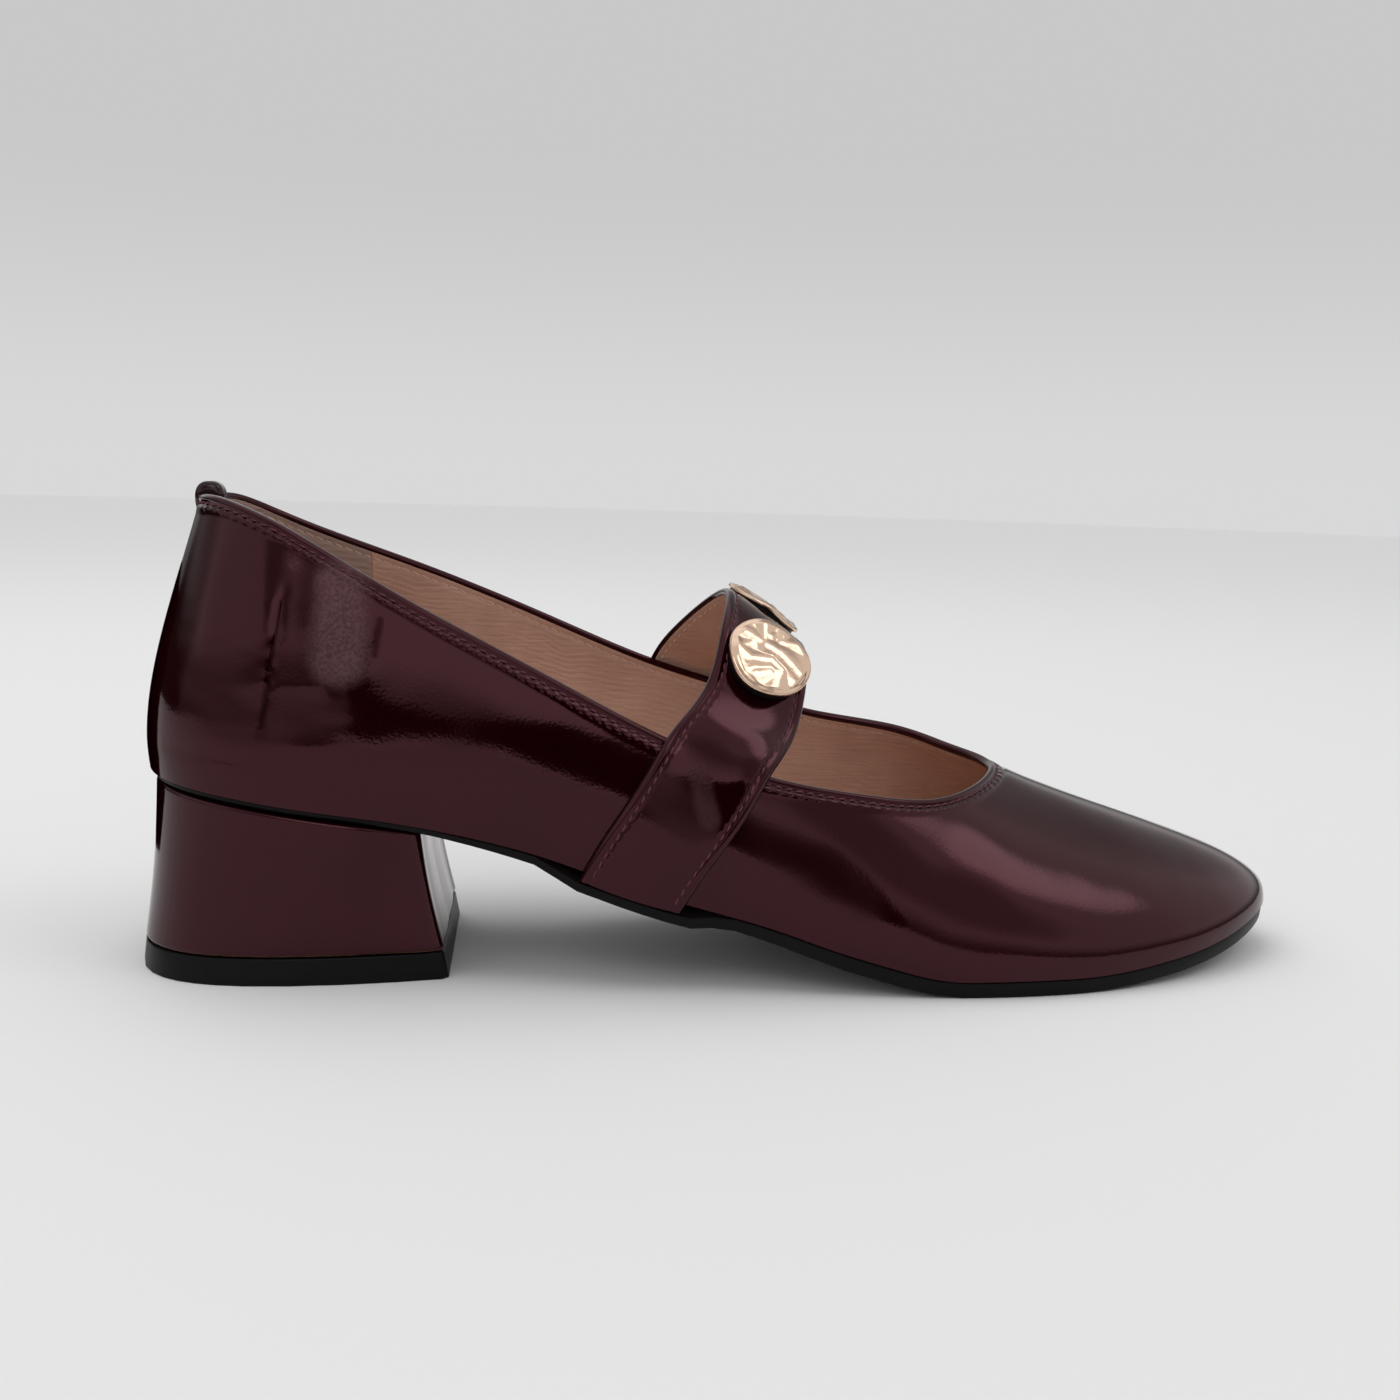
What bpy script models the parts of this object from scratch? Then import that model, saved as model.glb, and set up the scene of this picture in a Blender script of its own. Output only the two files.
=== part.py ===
"""Mary jane pump, right shoe, with a covered block heel and an instep strap that carries two metal discs.

Frame: +X to the toe, +Y to the medial side, +Z up, metres. The shoe stands on its heel top piece and on the
flat of its forefoot. While it is being shaped, x = 0 is the back of the top piece; an empty then carries every
piece so that the origin lies under the middle of the finished shoe.
"""
import math

import bmesh
import bpy
import numpy as np
from mathutils import Vector

MM = 0.001

# Driving sizes of the shoe
SHOE_LENGTH = 246.5 * MM
BALL_WIDTH = 77.5 * MM
SEAT_WIDTH = 56.6 * MM
HEEL_HEIGHT = 39.5 * MM
COUNTER_HEIGHT = 55.4 * MM
INSTEP_RISE = 53.9 * MM

# Walls and layers
UPPER_WALL = 1.8 * MM
SOLE_SEAT_THICKNESS = 1.1 * MM
SOLE_FOREPART_THICKNESS = 3.3 * MM
SOLE_SEAT_INSET = 0.9 * MM
SOLE_EDGE_INSET = 0.3 * MM
SOLE_EDGE_SLOPE = 0.5 * MM
SEAT_SHOULDER = 8.0 * MM
INSOLE_THICKNESS = 2.0 * MM
INSOLE_CLEARANCE = 0.9 * MM
FIT_GAP = 0.3 * MM

# Heel block and its top piece
SEAT_LENGTH = 57.3 * MM
SEAT_BACK = 3.3 * MM
SEAT_FRONT_WIDTH = 49.4 * MM
SEAT_CURVE_LENGTH = 40.5 * MM
TREAD_LENGTH = 63.3 * MM
TREAD_WIDTH = 54.6 * MM
TREAD_FRONT_WIDTH = 47.2 * MM
TREAD_CURVE_LENGTH = 32.0 * MM
HEEL_CORNER_POWER = 2.8
HEEL_CORNER_RADIUS = 1.2 * MM
HEEL_SIDE_HOLLOW = 0.5 * MM
TOP_PIECE_THICKNESS = 5.5 * MM
TOP_PIECE_FLARE = 0.55 * MM

# Strap, tab and discs
STRAP_THICKNESS = 1.6 * MM
STRAP_CLEARANCE = 0.45 * MM
TAB_WIDTH = 5.0 * MM
TAB_THICKNESS = 0.8 * MM
TAB_ROLL = 1.3 * MM
TAB_CLEARANCE = 0.5 * MM
TAB_OUTER_LEG = 1.2 * MM
TAB_INNER_LEG = 3.0 * MM
DISC_DIAMETER = 18.4 * MM
DISC_THICKNESS = 1.5 * MM
DISC_STAND_OFF = 2.2 * MM
POST_DIAMETER = 5.0 * MM
STRAP_SHOULDER = 10.0 * MM

# Sole line: height of the sole's underside, shares of SHOE_LENGTH and HEEL_HEIGHT
SOLE_LINE = (
    # along, height
    (0.000, 1.000),
    (0.122, 0.883),
    (0.243, 0.767),
    (0.316, 0.650),
    (0.406, 0.462),
    (0.507, 0.284),
    (0.588, 0.112),
    (0.673, 0.000),
    (0.771, 0.000),
    (0.872, 0.051),
    (1.000, 0.203),
)
FLAT_FROM = 0.673
FLAT_TO = 0.771

# Where the sole grows from its seat thickness to its forepart thickness, shares of SHOE_LENGTH
SOLE_BODY = (
    # along, share of the way
    (0.000, 0.00),
    (0.243, 0.09),
    (0.324, 0.41),
    (0.446, 0.59),
    (0.588, 1.00),
    (1.000, 1.00),
)

# Upper, one row for each section round the shoe, from the back seam by the lateral side to the toe and back.
# foot: where the section meets the sole. top: its point on the topline. facing: the way it faces, in degrees.
# x in shares of SHOE_LENGTH; y in shares of the width named by girth; height in shares of COUNTER_HEIGHT.
# low, high: lengths of the section's two handles along its rise; low_out, high_out: how far they lean out,
# in shares of BALL_WIDTH.
UPPER_COLUMNS = ("place", "girth", "foot_x", "foot_y", "facing", "top_x", "top_y", "height",
                 "low", "low_out", "high", "high_out")
UPPER_ROWS = (
    ("back seam", "seat", 0.006, 0.000, -180, 0.050, 0.000, 0.985, 0.27, 0.033, 0.36, 0.072),
    ("back corner lateral", "seat", 0.032, -0.345, -128, 0.066, -0.222, 1.005, 0.27, 0.032, 0.36, 0.075),
    ("heel side lateral", "seat", 0.105, -0.491, -95, 0.118, -0.360, 0.978, 0.28, 0.030, 0.36, 0.092),
    ("quarter lateral", "seat", 0.203, -0.498, -89, 0.211, -0.419, 0.808, 0.30, 0.032, 0.33, 0.055),
    ("waist lateral", "ball", 0.292, -0.372, -88, 0.325, -0.348, 0.621, 0.30, 0.034, 0.30, 0.047),
    ("strap rear lateral", "ball", 0.361, -0.392, -86, 0.428, -0.378, 0.480, 0.30, 0.030, 0.30, 0.040),
    ("strap front lateral", "ball", 0.442, -0.422, -84, 0.512, -0.384, 0.456, 0.30, 0.030, 0.30, 0.060),
    ("ball rear lateral", "ball", 0.535, -0.462, -84, 0.588, -0.369, 0.503, 0.30, 0.030, 0.30, 0.090),
    ("ball lateral", "ball", 0.641, -0.490, -90, 0.653, -0.303, 0.606, 0.30, 0.028, 0.28, 0.129),
    ("joint lateral", "ball", 0.755, -0.475, -56, 0.698, -0.187, 0.643, 0.31, 0.028, 0.30, 0.181),
    ("toe side lateral", "ball", 0.864, -0.381, -31, 0.718, -0.097, 0.632, 0.32, 0.028, 0.36, 0.245),
    ("toe corner lateral", "ball", 0.957, -0.194, -13, 0.727, -0.028, 0.571, 0.33, 0.025, 0.40, 0.310),
    ("toe tip", "ball", 1.000, 0.058, 2, 0.729, 0.037, 0.534, 0.33, 0.020, 0.42, 0.348),
    ("toe corner medial", "ball", 0.970, 0.284, 14, 0.726, 0.093, 0.568, 0.33, 0.025, 0.40, 0.316),
    ("toe side medial", "ball", 0.897, 0.426, 27, 0.719, 0.152, 0.641, 0.32, 0.028, 0.37, 0.258),
    ("joint medial", "ball", 0.799, 0.497, 46, 0.702, 0.226, 0.709, 0.31, 0.030, 0.31, 0.194),
    ("ball medial", "ball", 0.698, 0.507, 74, 0.663, 0.310, 0.759, 0.30, 0.032, 0.28, 0.148),
    ("ball rear medial", "ball", 0.592, 0.432, 100, 0.588, 0.364, 0.731, 0.30, 0.052, 0.30, 0.103),
    ("strap front medial", "ball", 0.462, 0.312, 98, 0.513, 0.351, 0.664, 0.30, 0.071, 0.30, 0.071),
    ("strap rear medial", "ball", 0.381, 0.277, 92, 0.433, 0.332, 0.674, 0.30, 0.077, 0.30, 0.065),
    ("waist medial", "ball", 0.300, 0.290, 84, 0.333, 0.295, 0.746, 0.30, 0.065, 0.30, 0.062),
    ("quarter medial", "seat", 0.211, 0.465, 84, 0.223, 0.375, 0.860, 0.30, 0.041, 0.33, 0.067),
    ("heel side medial", "seat", 0.110, 0.491, 92, 0.118, 0.336, 0.962, 0.28, 0.030, 0.36, 0.101),
    ("back corner medial", "seat", 0.032, 0.345, 128, 0.066, 0.212, 1.003, 0.27, 0.032, 0.36, 0.075),
)
STEPS_PER_ROW = 4
WALL_STEPS = 10

# Strap above the topline, one row for each place over the foot: the rear and the front edge of its outer face.
# x in shares of SHOE_LENGTH, y in shares of BALL_WIDTH, rise in shares of INSTEP_RISE above the strap's foot.
STRAP_ROWS = (
    # place, rear_x, rear_y, rear_rise, front_x, front_y, front_rise
    ("shoulder lateral", 0.460, -0.316, 0.670, 0.534, -0.316, 0.590),
    ("upper lateral", 0.477, -0.200, 0.883, 0.550, -0.200, 0.816),
    ("crown", 0.487, -0.013, 1.000, 0.555, -0.013, 0.892),
    ("upper medial", 0.474, 0.155, 0.939, 0.547, 0.168, 0.840),
    ("shoulder medial", 0.452, 0.265, 0.818, 0.529, 0.277, 0.750),
)
STRAP_WALL_STOPS = (0.00, 0.25, 0.50, 0.75, 1.00)
STRAP_STEPS_ALONG = 44
STRAP_STEPS_ACROSS = 6

# Discs: place along the strap's run and across its width, lean towards the medial side and turn about the
# post in degrees, and where the waves of the metal begin in radians
DISC_ROWS = (
    # name, along, across, lean, turn, wave_turn
    ("disc_lateral", 0.368, 0.50, 6.0, 20.0, 0.0),
    ("disc_medial", 0.548, 0.50, -17.0, 75.0, 2.1),
)


def read_line(rows, at):
    """Height of a line through the rows at one place, with no overshoot between rows."""
    along = np.array([row[0] for row in rows])
    height = np.array([row[1] for row in rows])
    gap = np.diff(along)
    slope = np.diff(height) / gap
    lean = np.zeros(len(rows))
    lean[0], lean[-1] = slope[0], slope[-1]
    for i in range(1, len(rows) - 1):
        if slope[i - 1] * slope[i] > 0:
            weight_a = 2 * gap[i] + gap[i - 1]
            weight_b = gap[i] + 2 * gap[i - 1]
            lean[i] = (weight_a + weight_b) / (weight_a / slope[i - 1] + weight_b / slope[i])
    at = min(max(at, along[0]), along[-1])
    i = min(int(np.searchsorted(along, at, side="right")) - 1, len(rows) - 2)
    t = (at - along[i]) / gap[i]
    return float(
        height[i] * (1 + 2 * t) * (1 - t) ** 2
        + gap[i] * lean[i] * t * (1 - t) ** 2
        + height[i + 1] * t * t * (3 - 2 * t)
        + gap[i] * lean[i + 1] * t * t * (t - 1)
    )


def bend_spline(knots, values, bend, at):
    """Cubic through values at knots with known second derivatives, read at one place."""
    i = min(max(int(np.searchsorted(knots, at, side="right")) - 1, 0), len(knots) - 2)
    gap = knots[i + 1] - knots[i]
    a = (knots[i + 1] - at) / gap
    b = (at - knots[i]) / gap
    curve = (a ** 3 - a) * bend[i] + (b ** 3 - b) * bend[i + 1]
    return a * values[i] + b * values[i + 1] + curve * gap * gap / 6


def closed_bend(knots, values):
    """Second derivatives of a smooth closed cubic; the last value repeats the first."""
    gap = np.diff(knots)
    count = len(gap)
    matrix = np.zeros((count, count))
    pull = np.zeros((count, values.shape[1]))
    for i in range(count):
        before, after = gap[i - 1], gap[i]
        matrix[i, i - 1] += before
        matrix[i, i] += 2 * (before + after)
        matrix[i, (i + 1) % count] += after
        pull[i] = 6 * ((values[i + 1] - values[i]) / after - (values[i] - values[(i - 1) % count]) / before)
    bend = np.linalg.solve(matrix, pull)
    return np.vstack([bend, bend[:1]])


def open_bend(knots, values):
    """Second derivatives of a smooth open cubic with straight ends."""
    gap = np.diff(knots)
    count = len(knots)
    matrix = np.eye(count)
    pull = np.zeros((count, values.shape[1]))
    for i in range(1, count - 1):
        matrix[i, i - 1] = gap[i - 1]
        matrix[i, i] = 2 * (gap[i - 1] + gap[i])
        matrix[i, i + 1] = gap[i]
        pull[i] = 6 * ((values[i + 1] - values[i]) / gap[i] - (values[i] - values[i - 1]) / gap[i - 1])
    return np.linalg.solve(matrix, pull)


def smooth_step(value):
    value = min(max(value, 0.0), 1.0)
    return value * value * (3 - 2 * value)


def unit(vector):
    return vector / np.linalg.norm(vector)


def sole_under(x):
    """Underside of the sole."""
    return HEEL_HEIGHT * read_line(SOLE_LINE, x / SHOE_LENGTH)


def sole_body(x):
    growth = SOLE_FOREPART_THICKNESS - SOLE_SEAT_THICKNESS
    return SOLE_SEAT_THICKNESS + growth * read_line(SOLE_BODY, x / SHOE_LENGTH)


def sole_top(x):
    return sole_under(x) + sole_body(x)


def foot_height(x):
    """Lower edge of the upper, just clear of the sole."""
    return sole_top(x) + FIT_GAP


class Upper:
    """Outer face of the upper: a loft round the shoe of sections that rise from the sole to the topline."""

    def __init__(self):
        girths = {"seat": SEAT_WIDTH, "ball": BALL_WIDTH}
        values = []
        for cells in UPPER_ROWS:
            row = dict(zip(UPPER_COLUMNS, cells))
            girth = girths[row["girth"]]
            facing = math.radians(row["facing"])
            foot_x = row["foot_x"] * SHOE_LENGTH
            foot_z = foot_height(foot_x)
            values.append((
                foot_x, row["foot_y"] * girth,
                row["top_x"] * SHOE_LENGTH, row["top_y"] * girth, foot_z + row["height"] * COUNTER_HEIGHT,
                math.cos(facing), math.sin(facing),
                row["low"], row["low_out"] * BALL_WIDTH, row["high"], row["high_out"] * BALL_WIDTH,
            ))
        values.append(values[0])
        self.values = np.array(values)
        foot_run = np.linalg.norm(np.diff(self.values[:, 0:2], axis=0), axis=1)
        top_run = np.linalg.norm(np.diff(self.values[:, 2:4], axis=0), axis=1)
        self.knots = np.concatenate([[0.0], np.cumsum(0.6 * foot_run + 0.4 * top_run)])
        self.bend = closed_bend(self.knots, self.values)

    def station(self, row):
        """Place round the shoe for a row number, which may fall between two rows."""
        row = row % len(UPPER_ROWS)
        return float(np.interp(row, range(len(self.knots)), self.knots))

    def point(self, around, rise):
        """Point of the outer face; rise is 0 at the sole and 1 at the topline."""
        cells = bend_spline(self.knots, self.values, self.bend, around % self.knots[-1])
        foot = np.array([cells[0], cells[1], foot_height(cells[0])])
        top = cells[2:5]
        facing = unit(np.array([cells[5], cells[6], 0.0]))
        climb = top - foot
        climb = climb - facing * climb.dot(facing)
        low = foot + cells[7] * climb + cells[8] * facing
        high = top - cells[9] * climb + cells[10] * facing
        rest = 1 - rise
        return (
            rest ** 3 * foot + 3 * rest * rest * rise * low
            + 3 * rest * rise * rise * high + rise ** 3 * top
        )

    def normal(self, around, rise):
        """Outward direction of the outer face."""
        step = 0.2 * MM
        tilt = 0.005
        along = self.point(around + step, rise) - self.point(around - step, rise)
        up = self.point(around, rise + tilt) - self.point(around, rise - tilt)
        return unit(np.cross(along, up))

    def shifted(self, around, rise, out):
        return self.point(around, rise) + out * self.normal(around, rise)


UPPER = Upper()
ROW_NUMBER = {row[0]: number for number, row in enumerate(UPPER_ROWS)}


def finish(name, bm, colour, roughness, metallic=0.0, smooth_angle=40.0):
    """Turn a closed bmesh into a named object with its own material."""
    bmesh.ops.recalc_face_normals(bm, faces=bm.faces)
    mesh = bpy.data.meshes.new(name)
    bm.to_mesh(mesh)
    bm.free()
    item = bpy.data.objects.new(name, mesh)
    bpy.context.scene.collection.objects.link(item)
    material = bpy.data.materials.new(name)
    material.use_nodes = True
    shader = material.node_tree.nodes["Principled BSDF"]
    shader.inputs["Base Color"].default_value = (*colour, 1.0)
    shader.inputs["Roughness"].default_value = roughness
    shader.inputs["Metallic"].default_value = metallic
    mesh.materials.append(material)
    mesh.shade_smooth()
    mesh.set_sharp_from_angle(angle=math.radians(smooth_angle))
    return item


def ring_body(rings):
    """Closed body lofted through rings of equal length, with flat ends."""
    bm = bmesh.new()
    loops = [[bm.verts.new(Vector(point)) for point in ring] for ring in rings]
    for first, second in zip(loops, loops[1:]):
        for i in range(len(first)):
            j = (i + 1) % len(first)
            bm.faces.new((first[i], first[j], second[j], second[i]))
    bm.faces.new(loops[0])
    bm.faces.new(loops[-1])
    return bm


def sheet_body(outer, inner):
    """Closed body between two open grids of equal size, with a rim all round."""
    bm = bmesh.new()
    sides = [[[bm.verts.new(Vector(p)) for p in row] for row in grid] for grid in (outer, inner)]
    rows, columns = len(outer), len(outer[0])
    for side in sides:
        for i in range(rows - 1):
            for j in range(columns - 1):
                bm.faces.new((side[i][j], side[i + 1][j], side[i + 1][j + 1], side[i][j + 1]))
    rim = [(i, 0) for i in range(rows)]
    rim += [(rows - 1, j) for j in range(1, columns)]
    rim += [(i, columns - 1) for i in range(rows - 2, -1, -1)]
    rim += [(0, j) for j in range(columns - 2, 0, -1)]
    for (a, b), (c, d) in zip(rim, rim[1:] + rim[:1]):
        bm.faces.new((sides[0][a][b], sides[0][c][d], sides[1][c][d], sides[1][a][b]))
    return bm


def build_upper():
    """Quarters and vamp with their lining: one wall, open at the collar and underneath."""
    stations = [UPPER.station(i / STEPS_PER_ROW) for i in range(len(UPPER_ROWS) * STEPS_PER_ROW)]
    rises = [j / WALL_STEPS for j in range(WALL_STEPS + 1)]
    bm = bmesh.new()
    outer = [[bm.verts.new(Vector(UPPER.point(s, r))) for r in rises] for s in stations]
    inner = []
    for s in stations:
        line = [UPPER.shifted(s, r, -UPPER_WALL) for r in rises]
        line[0][2] = foot_height(line[0][0])
        inner.append([bm.verts.new(Vector(p)) for p in line])
    count = len(stations)
    for i in range(count):
        k = (i + 1) % count
        for j in range(WALL_STEPS):
            bm.faces.new((outer[i][j], outer[k][j], outer[k][j + 1], outer[i][j + 1]))
            bm.faces.new((inner[i][j], inner[i][j + 1], inner[k][j + 1], inner[k][j]))
        bm.faces.new((outer[i][-1], outer[k][-1], inner[k][-1], inner[i][-1]))
        bm.faces.new((outer[i][0], inner[i][0], inner[k][0], outer[k][0]))
    return finish("upper", bm, (0.045, 0.010, 0.013), 0.08)


def strap_foot(side, across):
    """Place round the shoe where the strap leaves the sole, from its rear edge (0) to its front edge (1)."""
    rear = ROW_NUMBER["strap rear " + side]
    front = ROW_NUMBER["strap front " + side]
    return UPPER.station(rear + (front - rear) * across)


def strap_dip(x, side):
    """How much of the strap's thickness the sole makes room for at x: 1 under the strap, 0 beside it."""
    rear = UPPER.point(strap_foot(side, 0.0), 0.0)[0]
    front = UPPER.point(strap_foot(side, 1.0), 0.0)[0]
    rise = smooth_step((x - rear + STRAP_SHOULDER) / STRAP_SHOULDER)
    return rise * smooth_step((front + STRAP_SHOULDER - x) / STRAP_SHOULDER)


def strap_wall(side, across):
    """The strap's outer face where it lies on the upper, from the sole up."""
    out = STRAP_CLEARANCE + STRAP_THICKNESS
    around = strap_foot(side, across)
    points = [UPPER.shifted(around, stop, out) for stop in STRAP_WALL_STOPS]
    points[0][2] = foot_height(points[0][0]) - STRAP_THICKNESS
    return points


def strap_line(across):
    """Curve of the strap's outer face over the foot, at one place across its width."""
    lateral = strap_wall("lateral", across)
    medial = strap_wall("medial", across)
    foot = UPPER.point(strap_foot("lateral", across), 0.0)[2]
    over = []
    for place, rear_x, rear_y, rear_rise, front_x, front_y, front_rise in STRAP_ROWS:
        x = rear_x + (front_x - rear_x) * across
        y = rear_y + (front_y - rear_y) * across
        rise = rear_rise + (front_rise - rear_rise) * across
        over.append(np.array([x * SHOE_LENGTH, y * BALL_WIDTH, foot + rise * INSTEP_RISE]))
    points = np.array(lateral + over + medial[::-1])
    knots = np.concatenate([[0.0], np.cumsum(np.linalg.norm(np.diff(points, axis=0), axis=1))])
    return knots, points, open_bend(knots, points)


def strap_point(along, across):
    knots, points, bend = strap_line(across)
    return bend_spline(knots, points, bend, along * knots[-1])


def strap_normal(along, across):
    step = 0.004
    run = strap_point(along + step, across) - strap_point(along - step, across)
    width = strap_point(along, across + step) - strap_point(along, across - step)
    return unit(np.cross(width, run))


def build_strap():
    """Instep strap of folded patent leather, held between upper and sole on both sides."""
    outer, inner = [], []
    for i in range(STRAP_STEPS_ALONG + 1):
        along = i / STRAP_STEPS_ALONG
        near = min(max(along, 0.004), 0.996)
        row_out, row_in = [], []
        for j in range(STRAP_STEPS_ACROSS + 1):
            across = j / STRAP_STEPS_ACROSS
            point = strap_point(along, across)
            row_out.append(point)
            row_in.append(point - STRAP_THICKNESS * strap_normal(near, across))
        outer.append(row_out)
        inner.append(row_in)
    return finish("strap", sheet_body(outer, inner), (0.045, 0.010, 0.013), 0.08)


def outline_tables(inset):
    """Lateral and medial y of the upper's lower edge against x, moved in by inset."""
    sides = {"lateral": [], "medial": []}
    count = 400
    for i in range(count):
        around = UPPER.knots[-1] * i / count
        point = UPPER.point(around, 0.0)
        along = UPPER.point(around + 0.2 * MM, 0.0) - UPPER.point(around - 0.2 * MM, 0.0)
        out = unit(np.array([along[1], -along[0], 0.0]))
        side = "lateral" if around < UPPER.knots[ROW_NUMBER["toe tip"]] else "medial"
        moved = point - inset * out
        sides[side].append((moved[0], moved[1]))
    return {side: np.array(sorted(points)) for side, points in sides.items()}


def strip_stations(start, end, count, extra=()):
    """Stations along the shoe, closer together at its round ends."""
    stations = [start + (end - start) * 0.5 * (1 - math.cos(math.pi * i / count)) for i in range(count + 1)]
    for place in extra:
        nearest = min(range(1, count), key=lambda i: abs(stations[i] - place))
        stations[nearest] = place
    return stations


def build_outsole():
    """Black sole: recessed thin seat, thicker forepart, a step in its edge for each end of the strap."""
    seat_table = outline_tables(SOLE_SEAT_INSET)
    edge_table = outline_tables(SOLE_EDGE_INSET)
    start = seat_table["lateral"][:, 0].min() + 0.15 * MM
    end = edge_table["medial"][:, 0].max() - 0.15 * MM
    flats = (FLAT_FROM * SHOE_LENGTH, FLAT_TO * SHOE_LENGTH)
    room = STRAP_THICKNESS + FIT_GAP
    inner_share = 0.4
    rings = []
    for x in strip_stations(start, end, 84, flats):
        blend = smooth_step((x - SEAT_LENGTH) / SEAT_SHOULDER)
        edges = {}
        for side, sign in (("lateral", -1), ("medial", 1)):
            seat = np.interp(x, seat_table[side][:, 0], seat_table[side][:, 1])
            edge = np.interp(x, edge_table[side][:, 0], edge_table[side][:, 1])
            dip = strap_dip(x, side)
            edges[side] = (seat + (edge - seat) * blend + sign * dip * (STRAP_CLEARANCE + STRAP_THICKNESS), dip)
        lateral, lateral_dip = edges["lateral"]
        medial, medial_dip = edges["medial"]
        middle = 0.5 * (lateral + medial)
        inner_lateral = middle + inner_share * (lateral - middle)
        inner_medial = middle + inner_share * (medial - middle)
        slope = min(SOLE_EDGE_SLOPE, 0.2 * (medial - lateral))
        under, top = sole_under(x), sole_top(x)
        rings.append([
            (x, lateral + slope, max(under - lateral_dip * room, 0.0)),
            (x, inner_lateral, under),
            (x, inner_medial, under),
            (x, medial - slope, max(under - medial_dip * room, 0.0)),
            (x, medial, top - medial_dip * room),
            (x, inner_medial, top),
            (x, inner_lateral, top),
            (x, lateral, top - lateral_dip * room),
        ])
    return finish("outsole", ring_body(rings), (0.012, 0.012, 0.013), 0.45)


def build_insole():
    """Insole board and sock, lying inside the upper's wall just above the sole."""
    table = outline_tables(UPPER_WALL + INSOLE_CLEARANCE)
    start = table["lateral"][:, 0].min() + 0.2 * MM
    end = table["medial"][:, 0].max() - 0.2 * MM
    rings = []
    for x in strip_stations(start, end, 44):
        lateral = np.interp(x, table["lateral"][:, 0], table["lateral"][:, 1])
        medial = np.interp(x, table["medial"][:, 0], table["medial"][:, 1])
        low = foot_height(x)
        high = low + INSOLE_THICKNESS
        rings.append([(x, lateral, low), (x, medial, low), (x, medial, high), (x, lateral, high)])
    return finish("insole", ring_body(rings), (0.40, 0.26, 0.19), 0.7)


def heel_ring(back, front, width, front_width, curve_length):
    """Plan of the heel: round back, straight sides that close in a little, straight breast."""
    half, front_half = width / 2, front_width / 2
    centre = back + curve_length
    side = []
    for degrees in (12, 24, 35, 45, 54, 63, 72, 81, 90):
        angle = math.radians(degrees)
        power = 2 / HEEL_CORNER_POWER
        side.append((centre - curve_length * math.cos(angle) ** power, half * math.sin(angle) ** power))
    straight = front - HEEL_CORNER_RADIUS - centre
    for share in (0.35, 0.70, 1.00):
        side.append((centre + straight * share, half - (half - front_half) * share ** 1.7))
    side.append((front, front_half - HEEL_CORNER_RADIUS))
    ring = [(back, 0.0)]
    ring += [(x, -y) for x, y in side]
    ring += [(front, 0.0)]
    ring += [(x, y) for x, y in reversed(side)]
    return ring


def build_heel_block():
    """Block heel covered in patent leather, its seat cut to the slope of the sole."""
    levels = (0.0, 0.30, 0.60, 0.85, 1.0)
    low = TOP_PIECE_THICKNESS + FIT_GAP
    rings = []
    for level in levels:
        hollow = HEEL_SIDE_HOLLOW * math.sin(math.pi * level)
        back = TOP_PIECE_FLARE + (SEAT_BACK - TOP_PIECE_FLARE) * level + hollow
        front = TREAD_LENGTH - 2 * TOP_PIECE_FLARE
        front += (SEAT_LENGTH - front) * level - hollow
        tread_width = TREAD_WIDTH - TOP_PIECE_FLARE
        width = tread_width + (SEAT_WIDTH - tread_width) * level - 2 * hollow
        tread_front = TREAD_FRONT_WIDTH - TOP_PIECE_FLARE
        front_width = tread_front + (SEAT_FRONT_WIDTH - tread_front) * level - 2 * hollow
        curve = TREAD_CURVE_LENGTH + (SEAT_CURVE_LENGTH - TREAD_CURVE_LENGTH) * level
        plan = heel_ring(back, front, width, front_width, curve)
        rings.append([(x, y, low + (sole_under(x) - FIT_GAP - low) * level) for x, y in plan])
    return finish("heel_block", ring_body(rings), (0.045, 0.010, 0.013), 0.08)


def build_heel_top_piece():
    """Rubber top piece that the heel stands on."""
    rings = []
    for height, inset in ((0.0, 0.0), (TOP_PIECE_THICKNESS, TOP_PIECE_FLARE)):
        plan = heel_ring(inset, TREAD_LENGTH - 2 * inset, TREAD_WIDTH - inset, TREAD_FRONT_WIDTH - inset,
                         TREAD_CURVE_LENGTH)
        rings.append([(x, y, height) for x, y in plan])
    return finish("heel_top_piece", ring_body(rings), (0.010, 0.010, 0.011), 0.4)


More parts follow.
